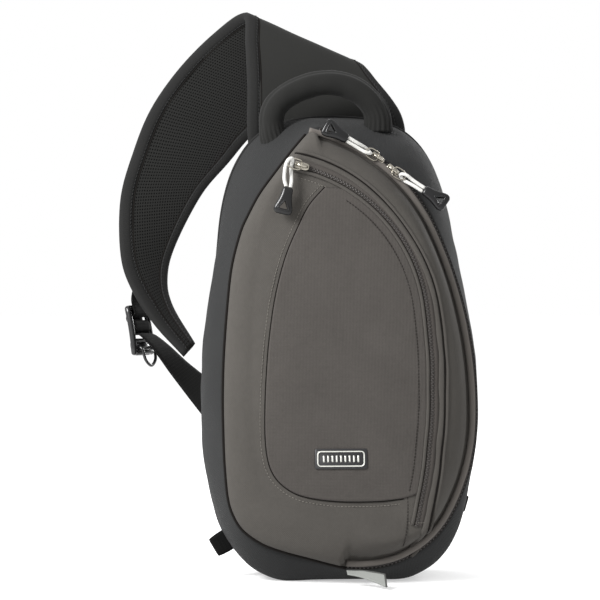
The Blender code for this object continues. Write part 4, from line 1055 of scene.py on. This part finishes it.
def strap_body(steps=20):
    """Padded band: smooth cloth outside, mesh inside, rounded edges."""
    rows = []
    for a, across, width, normal, t, run in STRAP:
        row = []
        for face, k in [(1, k) for k in range(steps + 1)] + [(-1, k) for k in range(steps, -1, -1)]:
            share = k / steps
            edge = min(share, 1.0 - share) * width
            thick = 3.4 * math.sqrt(1.0 - (1.0 - min(1.0, edge / 4.0)) ** 2) + 0.15
            thick += sway((share * width, run, 3.0 * face), 30.0, 0.5) * min(1.0, edge / 14.0)
            row.append(((a + across * (share * width) + normal * face * thick) * MM,
                        (share * width * MM, run * MM)))
        rows.append(row)
    return skin("strap_cloth_band", rows, (M["strap"], M["mesh"]),
                index_of=lambda k: 1 if steps < k < 2 * steps + 1 else 0)


strap = strap_body()
keep(strap, "strap_cloth", "shoulder_strap", "strap_spacer_mesh")


def strap_edge(side, wide):
    """Edge point, way inward, width of the binding and the station along one edge of the strap."""
    for a, across, width, normal, t, run in STRAP:
        origin = a if side < 0 else a + across * width
        yield origin, across * -side, min(wide, width * 0.34), across, normal, t, run


def strap_binding(name, side, wide):
    """Binding tape folded over one edge of the strap."""
    rows = []
    for origin, inward, w, across, normal, t, run in strap_edge(side, wide):
        section = ((w, 3.55), (w * 0.6, 3.9), (2.5, 3.7), (0.6, 2.6), (-0.6, 1.0), (-0.6, -1.0), (0.6, -2.6),
                   (2.5, -3.7), (w * 0.6, -3.9), (w, -3.55), (w, -2.0), (3.0, -2.0), (1.4, 0.0), (3.0, 2.0), (w, 2.0))
        rows.append([((origin + inward * q + normal * h * 1.02) * MM, (q * MM, run * MM)) for q, h in section])
    keep(skin(name, rows, M["binding"]), "strap_cloth")


def strap_line(side, wide, face, inset, height):
    """Frames on one face of the strap, inset from the binding's inner rim."""
    return [((origin + inward * (w - inset) + normal * face * height) * MM, t, across, normal * face)
            for origin, inward, w, across, normal, t, run in strap_edge(side, wide)]


STRAP_EDGES = (("outer", -1, 11.5), ("inner", 1, 10.0))
for label, side, wide in STRAP_EDGES:
    strap_binding("strap_binding_" + label, side, wide)
STRAP_FACES = [(name + label, side, wide, face) for label, side, wide in STRAP_EDGES
               for name, face in (("front_", 1), ("back_", -1))]
for name, *edge in STRAP_FACES:
    keep(stitch_row("strap_stitches_" + name, strap_line(*edge, 1.8, 3.95), M["thread_black"], pitch=3.4, length=2.4),
         "strap_cloth")
# Painted shadow: near-black tubes in the creases at the inner rim of each binding.
for name, *edge in STRAP_FACES:
    keep(tube("strap_crease_shadow_" + name, strap_line(*edge, -0.35, 3.3), 0.7 * MM, M["seam"], 8), "strap_cloth")


# ------------------------------------------------------------------ webbing, tag and side loops
BAND_SECTION = [(-0.5 + k / 8, 1.0 - 0.5 * (abs(-0.5 + k / 8) * 2) ** 12) for k in range(9)]


def ribbon(name, stations, half_thick, mat, slot, *nodes, ripple=0.0):
    """Flat band: stations are centre and width vector in millimetres."""
    centres = spline([s[0] for s in stations])
    widths = spline([s[1] for s in stations])
    rows = []
    for i, run in enumerate(runs(centres)):
        w = Vector(widths[i])
        side = w.normalized()
        normal = ahead(centres, i).cross(side).normalized()
        row = []
        for face, section in ((1, BAND_SECTION), (-1, BAND_SECTION[::-1])):
            for share, lip in section:
                wave = ripple * math.sin(run * 0.35 + share * 3.0)
                place = Vector(centres[i]) + side * w.length * share + normal * (face * half_thick * lip + wave)
                row.append((place * MM, (w.length * share * MM, run * MM)))
        rows.append(row)
    keep(skin(name, rows, mat), slot, *nodes)


ribbon("lower_webbing_strip", LOWER_WEBBING, 0.8, M["webbing"], "black_webbing", "lower_webbing")
ribbon("strap_end_strip", END_WEBBING, 0.8, M["webbing"], "black_webbing", "strap_end_webbing")
ribbon("hem_tag_ribbon", HEM_TAG, 0.7, M["ribbon"], "silver_ribbon", "hem_tag", ripple=0.12)

tag_edge = [Vector(at) - Vector(wide) * 0.49 for at, wide in HEM_TAG]
tag_corner = Vector(HEM_TAG[-1][0]) + Vector(HEM_TAG[-1][1]) * 0.45
tag_line = [Vector(p) * MM for p in spline(tag_edge, 6)]
tag_line += [tag_edge[-1].lerp(tag_corner, k / 5) * MM for k in range(1, 6)]
keep(tube("hem_tag_edge", path_frames(tag_line), 0.85 * MM, M["ribbon_edge"], 8), "silver_ribbon")

# side loops, folded from a foot in the gusset out to their reach and back: share of the reach, depth
LOOP_FOOT = -2.5
LOOP_FOLD = ((None, -1.1), (0.3, -1.4), (0.7, -1.7), (0.95, -1.2), (1.0, 0.0),
             (0.95, 1.2), (0.7, 1.7), (0.3, 1.4), (None, 1.1))
for name, theta, share, reach, wide in (("side_loop_left", math.radians(238.0), 0.55, 13.5, 19.0),
                                        ("side_loop_right", math.radians(-50.0), 0.86, 9.5, 16.0)):
    rim = gusset_point(theta + 0.06, share, 0.0) - gusset_point(theta - 0.06, share, 0.0)
    outward = Vector((rim.z, 0.0, -rim.x)).normalized()
    length = Vector((rim.x, 0.0, rim.z)).normalized() * wide
    foot = gusset_point(theta, share, 0.0) / MM
    fold_line = []
    for part, deep in LOOP_FOLD:
        out_by = LOOP_FOOT if part is None else reach * part
        place = foot + outward * out_by + Vector((0.0, deep * 1.15, 0.0))
        fold_line.append((place, length * (1.0 - 0.12 * max(0.0, out_by / reach) ** 2)))
    ribbon(name + "_strip", fold_line, 0.75, M["webbing"], "black_webbing", name)

# ------------------------------------------------------------------ strap buckle with its lift ring
BUCKLE_AT = Vector((-171.0, 126.0, 212.0))
buckle_z = Vector((-0.24, 0.0, 0.97)).normalized()
buckle_y = Vector((0.58, 0.815, 0.0)).normalized()
buckle_x = buckle_y.cross(buckle_z).normalized()
buckle_z = buckle_x.cross(buckle_y)
BUCKLE = Matrix.Translation(BUCKLE_AT * MM) @ Matrix((buckle_x, buckle_y, buckle_z)).transposed().to_4x4()


def placed(frame_at, x, y, z):
    """World point for millimetres in a frame."""
    return frame_at @ (Vector((x, y, z)) * MM)


def buckle_bar(points, radius, flat=1.0, sides=14):
    """Moulded bar through buckle points, thinner at its ends."""
    frames = path_frames([placed(BUCKLE, *p) for p in spline(points, 6)], up=tuple(buckle_x))
    last = len(frames) - 1
    return tube("bar", frames, lambda i: radius * MM * min(1.0, 0.62 + 0.16 * min(i, last - i)), M["plastic"], sides,
                flat=flat)


bars = [buckle_bar(((0.4, side * 12.4, 22.6), (1.4, side * 14.2, 19.0), (2.0, side * 14.6, 10.0),
                    (2.0, side * 14.6, 0.0), (1.6, side * 14.6, -10.0), (0.6, side * 14.2, -18.0),
                    (-0.6, side * 12.6, -21.4)), 2.8) for side in (-1, 1)]
for z, x, radius in ((20.4, 0.6, 2.6), (4.8, 1.0, 2.1), (-9.0, 0.2, 2.2), (-20.6, -0.6, 2.0)):
    bars.append(buckle_bar([(x, y, z) for y in (-13.0, -5.0, 5.0, 13.0)], radius))
bars.append(buckle_bar(((-2.7, -13.2, -14.6), (-2.9, -5.0, -14.6), (-2.9, 5.0, -14.6), (-2.7, 13.2, -14.6)), 7.2,
                       flat=0.13, sides=24))
keep(join("buckle_body", bars), "black_plastic", "buckle_frame")

ring_side = ((0.0, 8.2, -15.0), (4.2, 9.4, -15.2), (7.0, 9.7, -19.0), (7.4, 8.0, -28.0))
ring_loop = [(x, -y, z) for x, y, z in ring_side] + [(7.2, 0.0, -33.4)] + list(ring_side[::-1])
tab_rows = []
for x, grow in ((2.2, 0.9), (2.6, 1.0), (3.6, 1.0), (4.3, 0.88)):
    row = []
    for a in around(32):
        y, z = squarish(a, 0.5, 0.6)
        row.append((placed(BUCKLE, x + 0.05 * (2.7 * z + 6.0), 9.8 * y * grow, -15.0 + 2.7 * z * grow), (0.0, 0.0)))
    tab_rows.append(row)
keep(join("lift_ring_body", [
    buckle_bar(ring_loop, 1.45),
    buckle_bar([(0.0, y, -15.0) for y in (-9.0, -3.0, 3.0, 9.0)], 1.7),
    buckle_bar(((6.6, -9.0, -19.6), (7.6, -3.0, -20.4), (7.6, 3.0, -20.4), (6.6, 9.0, -19.6)), 2.0),
    skin("bar", tab_rows, M["plastic"])]), "black_plastic", "buckle_lift_ring", body="lift_ring")

wrap_line = [(placed(BUCKLE, x, 0.0, z) / MM, buckle_y * 26.0) for x, z in (
    (2.4, 23.5), (0.8, 19.2), (-1.4, 15.8), (-2.8, 12.5), (-1.8, 9.0), (1.5, 9.2), (3.9, 7.6), (4.4, 4.0),
    (3.9, 0.6), (1.4, -1.2), (-1.6, -1.6))]
ribbon("buckle_webbing_wrap", wrap_line, 0.8, M["webbing"], "black_webbing")


# ------------------------------------------------------------------ grab handle
def handle_skin(sides=84):
    """Soft folded roll, gathered in fine pleats where each end is sewn into the yoke."""
    path = [Vector(p) for p in spline(HANDLE_LINE, 9)]
    depth = Vector((0, 1, 0))
    last = len(path) - 1
    rows = []
    for i, (p, run) in enumerate(zip(path, runs(path))):
        up = depth.cross(ahead(path, i)).normalized()
        foot = max(0.0, 1.0 - min(i, last - i) / last / 0.20)
        wide = 10.9 + 1.2 * foot
        deep = 10.8 + 0.8 * foot
        row = []
        for a in around(sides):
            pleat = 0.060 * foot ** 0.8 * math.sin(a * 17.0 + 0.5 * math.sin(run * 0.2))
            ripple = sway((run, math.cos(a) * 9.0, math.sin(a) * 9.0), 13.0, 0.045)
            fold_in = 0.075 * math.exp(-((math.sin((a - 4.15) / 2.0)) / 0.09) ** 2) * (1.0 - foot)
            r = 1.0 + pleat + ripple - fold_in
            row.append(((p + depth * math.cos(a) * r * deep + up * math.sin(a) * r * wide) * MM,
                        (a * 10.0 * MM, run * MM)))
        rows.append(row)
    return skin("handle_cloth", rows, M["handle"])


handle = handle_skin()
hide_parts("handle_pad", "handle_anchor_left", "handle_anchor_right")
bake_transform(handle)


# ------------------------------------------------------------------ zip pulls
def dress(node, mat, levels=0):
    """Gives a CAD node its look, rounded by subdivision where levels is set."""
    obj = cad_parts[node]
    obj.data.materials.clear()
    obj.data.materials.append(mat)
    for poly in obj.data.polygons:
        poly.material_index = 0
        poly.use_smooth = True
    if levels:
        obj.modifiers.new("weld", "WELD").merge_threshold = 0.00001
        subdivide(obj, levels)


def arc_centre(start, heading, radius):
    return (start[0] + radius * math.sin(heading), start[1] - radius * math.cos(heading))


def cord_piece(name, node, frame_at, points, body):
    """Braided cord along points of its pull's frame."""
    line = [placed(frame_at, *p) for p in spline(points, 6)]
    side = (line[1] - line[0]).cross(frame_at.to_3x3() @ Vector((0.0, 0.0, 1.0))).normalized()
    frames = []
    for i, p in enumerate(line):
        t = ahead(line, i)
        side = (side - t * side.dot(t)).normalized()
        frames.append((p, t, side, side.cross(t).normalized()))
    obj = tube(name, frames, CORD_RADIUS * MM, M["cord"], 16)
    keep(obj, "white_cord", node, body=body)


# share of the length, width, height
TOGGLE_SHAPE = (
    (0.0, 6.4, 3.8), (0.02, 8.0, 5.0), (0.06, 8.8, 5.9), (0.14, 9.2, 6.3), (0.3, 9.9, 6.5), (0.45, 11.2, 6.5),
    (0.6, 13.4, 6.2), (0.72, 15.2, 5.8), (0.82, 16.0, 5.4), (0.90, 15.6, 4.9), (0.96, 13.6, 4.0), (1.0, 10.0, 2.4),
)
TOGGLE_OPENING = ((11.6, 0.0), (18.2, 3.7), (18.8, 3.0), (18.8, -3.0), (18.2, -3.7))
TOGGLE_RIM = (
    (11.0, 0.0), (14.8, 2.5), (18.6, 4.7), (19.6, 3.0), (19.8, 0.0), (19.6, -3.0), (18.6, -4.7), (14.8, -2.5),
)


def toggle_piece(name, node, frame_at, body):
    """Puffy flared rubber tab with a raised triangular rim round its opening."""
    rows = []
    for share, wide, high in TOGGLE_SHAPE:
        x = 0.3 + 23.0 * share
        row = []
        for a in around(28):
            y, z = squarish(a, 0.8, 0.72)
            row.append((placed(frame_at, x, wide / 2 * y, high / 2 * z), (x * MM, a * 4.0 * MM)))
        rows.append(row)
    tab = skin(name, rows, M["toggle"])
    cutter = skin("cutter", [[(placed(frame_at, x, y, z), (0.0, 0.0)) for x, y in TOGGLE_OPENING]
                             for z in (-8.0, 8.0)], M["toggle"])
    mod = tab.modifiers.new("opening", "BOOLEAN")
    mod.operation = "DIFFERENCE"
    mod.solver = "EXACT"
    mod.object = cutter
    bake(tab)
    bpy.data.objects.remove(cutter)
    smooth(tab.data)
    normal = frame_at.to_3x3() @ Vector((0.0, 0.0, 1.0))
    rims = []
    for z in (-2.55, 2.55):
        line = [placed(frame_at, x, y, z * (1.0 - 0.012 * (x - 11.0))) for x, y in spline(TOGGLE_RIM, 5, closed=True)]
        rims.append(tube("rim", ring_frames(line, normal), 0.85 * MM, M["toggle"], 10, caps=False))
    rim = join(name + "_rim", rims)
    keep(tab, "toggle_rubber", node, body=body)
    keep(rim, "toggle_rubber", body=body)


def slider_piece(name, node, frame_at, body):
    """Zip slider: tapered shoe with a bridge over it."""
    rows = []
    for z, grow in ((0.05, 0.80), (0.25, 0.95), (0.7, 1.0), (1.5, 1.0), (2.0, 0.95), (2.2, 0.82)):
        row = []
        for a in around(24):
            x, y = squarish(a, 0.5, 0.6)
            x *= 6.4
            y *= 3.4 * (1.0 - 0.16 * math.exp(-((x - 1.5) / 2.2) ** 2) - 0.10 * max(0.0, -x / 6.4))
            row.append((placed(frame_at, x * grow, y * grow, z), (x * MM, y * MM)))
        rows.append(row)
    shoe = skin("shoe", rows, M["nickel"])
    arch = ((-4.6, 1.4), (-4.6, 3.0), (-3.6, 4.5), (-1.5, 5.3), (1.5, 5.3), (3.6, 4.5), (4.6, 3.0), (4.6, 1.4))
    line = [placed(frame_at, x, 0.0, z) for x, z in spline(arch, 4)]
    across = frame_at.to_3x3() @ Vector((0.0, 1.0, 0.0))
    frames = []
    for i, p in enumerate(line):
        t = ahead(line, i)
        frames.append((p, t, across, t.cross(across).normalized()))
    bridge = tube("bridge", frames, 1.15 * MM, M["nickel"], 10, flat=0.62)
    keep(join(name, [shoe, bridge]), "nickel", node, body=body)


SLIDER_LEVEL = 1.35
PIVOT_HEIGHT = 3.75
RAISED = math.radians(7.0)
MAIN_RADIUS = ZIP_ARCS[0][0] - COIL_INSET
MAIN_CENTRE = arc_centre(ZIP_START, ZIP_HEADING, ZIP_ARCS[0][0])
A_UP = math.radians(54.0)
A_DOWN = math.radians(47.5)
POCKET_RADIUS = POCKET_ARCS[0][0]
POCKET_CENTRE = arc_centre(POCKET_START, POCKET_HEADING, POCKET_RADIUS)
POCKET_ANGLE = math.radians(90.0) + POCKET_HEADING - 0.05
# cords from the toggle, through the eye of the bail and back, in the pull's frame
MAIN_CORD = (
    (31.2, 1.75, 1.2), (23.2, 1.72, 1.2), (17.2, 1.9, 1.6), (13.2, 2.1, 2.9), (10.2, 1.6, 3.0), (8.2, 0.6, 2.4),
    (7.6, 0.0, 0.4), (8.2, -0.6, -1.4), (10.6, -1.6, -2.2), (13.2, -2.1, -1.9), (17.2, -1.9, -0.4),
    (23.2, -1.72, 0.9), (31.2, -1.75, 1.2),
)
POCKET_CORD = (
    (9.0, 20.6, 2.6), (12.0, 15.0, 3.2), (13.4, 8.0, 4.0), (13.6, 2.5, 4.4), (12.4, -1.6, 4.6), (9.8, -3.4, 3.4),
    (8.6, -1.6, 0.6), (8.4, 0.4, -1.5), (8.2, 3.2, -2.2), (7.2, 8.0, -1.0), (6.2, 12.5, 1.0), (5.5, 16.5, 2.4),
    (5.3, 20.6, 2.6),
)


def zip_pull(tag, bodies, centre, radius, angle, height, turn, slope, cord_points, toggle_at):
    """Slider, cord, toggle and bail at an angle round an arc; turn is the way the pull lies."""
    at = (centre[0] + radius * math.cos(angle), centre[1] + radius * math.sin(angle), height)
    normal = (-slope, 0.0, 1.0)
    slider = lid_matrix(at, (-math.sin(angle), math.cos(angle), slope * -math.sin(angle)), normal)
    pull = lid_matrix(at, (turn[0], turn[1], slope * turn[0]), normal)
    pull.translation = slider @ Vector((0.0, 0.0, PIVOT_HEIGHT * MM))
    pull = pull @ Matrix.Rotation(-RAISED, 4, "Y")
    slider_piece(tag + "_slider_shell", tag + "_slider", slider, bodies[1])
    cord_piece(tag + "_cord_loop", tag + "_cord", pull, cord_points, bodies[0])
    x, y, z, spin = toggle_at
    toggle = pull @ Matrix.Translation(Vector((x, y, z)) * MM) @ Matrix.Rotation(spin, 4, "Z")
    toggle_piece(tag + "_toggle_tab", tag + "_toggle", toggle, bodies[0])
    dress(tag + "_bail", M["nickel"], levels=1)


for tag, bodies, angle, turn in (
        ("main_a", ("main_pull_a", "main_slider_a"), A_UP, (-math.sin(A_UP + 0.12), math.cos(A_UP + 0.12))),
        ("main_b", ("main_pull_b", "main_slider_b"), A_DOWN, (math.sin(A_DOWN + 0.14), -math.cos(A_DOWN + 0.14)))):
    zip_pull(tag, bodies, MAIN_CENTRE, MAIN_RADIUS, angle, SLIDER_LEVEL, turn, 0.0, MAIN_CORD, (31.2, 0.0, 1.2, 0.0))
pocket_u = POCKET_CENTRE[0] + POCKET_RADIUS * math.cos(POCKET_ANGLE)
zip_pull("pocket", ("pocket_pull", "pocket_slider"), POCKET_CENTRE, POCKET_RADIUS, POCKET_ANGLE,
         POCKET_BASE_N + POCKET_SLOPE * (pocket_u - POCKET_REF_U) + 3.9,
         (-math.sin(POCKET_ANGLE), math.cos(POCKET_ANGLE)), POCKET_SLOPE, POCKET_CORD,
         (7.05, 20.9, 2.6, math.radians(90.0)))

# ------------------------------------------------------------------ plain badge
FACE_LIFT = 2.1
badge_slope = (crown(BADGE_AT[0] + 20, BADGE_AT[1]) - crown(BADGE_AT[0] - 20, BADGE_AT[1])) / 40.0
BADGE = lid_matrix((*BADGE_AT, crown(*BADGE_AT) + FACE_LIFT + 0.75), (1.0, 0.0, badge_slope),
                   (-badge_slope, 0.0, 1.0))
BADGE_AXES = [BADGE.to_3x3() @ Vector(axis) for axis in ((1, 0, 0), (0, 1, 0), (0, 0, 1))]


def rounded(half_x, half_y, corner, steps=6):
    """Outline of a rectangle with rounded corners."""
    out = []
    for turn, (x, y) in enumerate(((1, 1), (-1, 1), (-1, -1), (1, -1))):
        for k in range(steps + 1):
            a = math.radians(90.0 * turn + 90.0 * k / steps)
            out.append((x * (half_x - corner) + corner * math.cos(a), y * (half_y - corner) + corner * math.sin(a)))
    return out


badge_line = [placed(BADGE, x, y, 0.75) for x, y in rounded(19.4, 6.1, 2.6)]
keep(tube("badge_rim", ring_frames(badge_line, BADGE_AXES[2]), 0.62 * MM, M["silver_frame"], 10, flat=0.8, caps=False),
     "nickel", "badge_frame")
patch_rows = []
for height, grow in ((-0.35, 0.99), (0.1, 1.0), (0.4, 0.985)):
    line = [placed(BADGE, x * grow, y * grow, height) for x, y in rounded(22.0, 8.5, 1.6)]
    patch_rows.append([(p, (p.x, p.z)) for p in line])
keep(skin("badge_pad", patch_rows, M["badge"]), "badge_black", "badge_patch")
marks = [(placed(BADGE, -14.4 + 3.6 * k, 0.0, 0.62), *BADGE_AXES) for k in range(9)]
keep(beads("badge_bars", marks, (1.5 * MM, 5.6 * MM, 0.5 * MM), M["silver_frame"]), "nickel")


# ------------------------------------------------------------------ padded dividers inside
def padded_board(name, node, size, centre, flat_axis):
    """Foam board in soft cloth with rounded rims; flat_axis is its thin direction."""
    a_axis, b_axis = [k for k in range(3) if k != flat_axis]
    rows = []
    for k in range(9):
        lift = -1.0 + k / 4.0
        inset = 2.6 * (1.0 - math.sqrt(max(0.0, 1.0 - abs(lift) ** 2.4)))
        row = []
        for a, b in rounded(size[a_axis] / 2 - inset, size[b_axis] / 2 - inset, 5.0, 8):
            place = list(centre)
            place[a_axis] += a
            place[b_axis] += b
            place[flat_axis] += size[flat_axis] / 2 * lift
            row.append((Vector(place) * MM, (a * MM, b * MM)))
        rows.append(row)
    board = skin(name, rows, M["divider"])
    keep(board, "grey_lining", node)
    long_axis = a_axis if a_axis != 1 else b_axis
    line = []
    for k in range(13):
        place = [centre[0], centre[1] - size[1] / 2 + 0.7, centre[2]]
        place[long_axis] += (k / 6.0 - 1.0) * (size[long_axis] / 2 - 4.0)
        line.append(Vector(place) * MM)
    keep(tube(name + "_edge", path_frames(line, up=(0.0, 1.0, 0.0)), 2.4 * MM, M["binding"]), "grey_lining")


padded_board("divider_upper_pad", "divider_upper", (170.0, 66.0, 7.0), (0.0, 9.0, 262.0), 2)
padded_board("divider_lower_pad", "divider_lower", (182.0, 66.0, 7.0), (0.0, 9.0, 128.0), 2)
padded_board("divider_upright_pad", "divider_upright", (7.0, 66.0, 126.0), (8.0, 9.0, 195.0), 0)
dress("frame_sheet", M["lining"])

# ------------------------------------------------------------------ floor, light and camera
FLOOR_HALF = 30
floor_mesh = bpy.data.meshes.new("studio_floor")
floor_mesh.from_pydata([(x * FLOOR_HALF, y * FLOOR_HALF, -0.0005) for x, y in ((-1, -1), (1, -1), (1, 1), (-1, 1))],
                       [], [(0, 1, 2, 3)])
floor_shade = Shade("studio_floor", (0.60, 0.60, 0.60), 0.9)
floor_shade.set("Emission Color", (1.0, 1.0, 1.0))
floor_shade.set("Emission Strength", 0.45)
floor_shade.set("Specular IOR Level", 0.0)
floor_mesh.materials.append(floor_shade.mat)
link("studio_floor", floor_mesh)

world = bpy.data.worlds.new("studio")
bpy.context.scene.world = world
world.use_nodes = True
world.node_tree.nodes["Background"].inputs[0].default_value = (1.0, 1.0, 1.0, 1.0)
world.node_tree.nodes["Background"].inputs[1].default_value = 1.0

for name, place, target, size, power in (
        ("key_light", (-1.06, -0.79, 0.98), (0.0, 0.0, 0.30), (0.56, 0.64), 50.0),
        ("top_light", (-0.2, 0.8, 1.8), (0.0, 0.0, 0.35), (1.2, 0.9), 12.0),
        ("back_light", (1.3, 1.7, 0.9), (0.0, 0.1, 0.25), (0.7, 0.8), 26.0)):
    data = bpy.data.lights.new(name, "AREA")
    data.shape = "RECTANGLE"
    data.size, data.size_y = size
    data.energy = power
    light = link(name, data)
    light.location = place
    light.rotation_euler = (Vector(target) - Vector(place)).to_track_quat("-Z", "Y").to_euler()

CAMERA_AZIMUTH = math.radians(-6.0)
CAMERA_DISTANCE = 1.9
FRAME_WIDTH = 0.519
SENSOR_WIDTH = 36.0
camera_data = bpy.data.cameras.new("photo_camera")
camera = link("photo_camera", camera_data)
look = Vector((-0.0361, -0.0038, 0.2405))
back = Vector((math.sin(CAMERA_AZIMUTH), -math.cos(CAMERA_AZIMUTH), 0.0))
camera.location = look + back * CAMERA_DISTANCE
camera.rotation_euler = (-back).to_track_quat("-Z", "Y").to_euler()
camera_data.sensor_width = SENSOR_WIDTH
camera_data.lens = SENSOR_WIDTH * CAMERA_DISTANCE / FRAME_WIDTH
camera_data.clip_end = 50.0
bpy.context.scene.camera = camera
bpy.context.scene.view_settings.view_transform = "Standard"
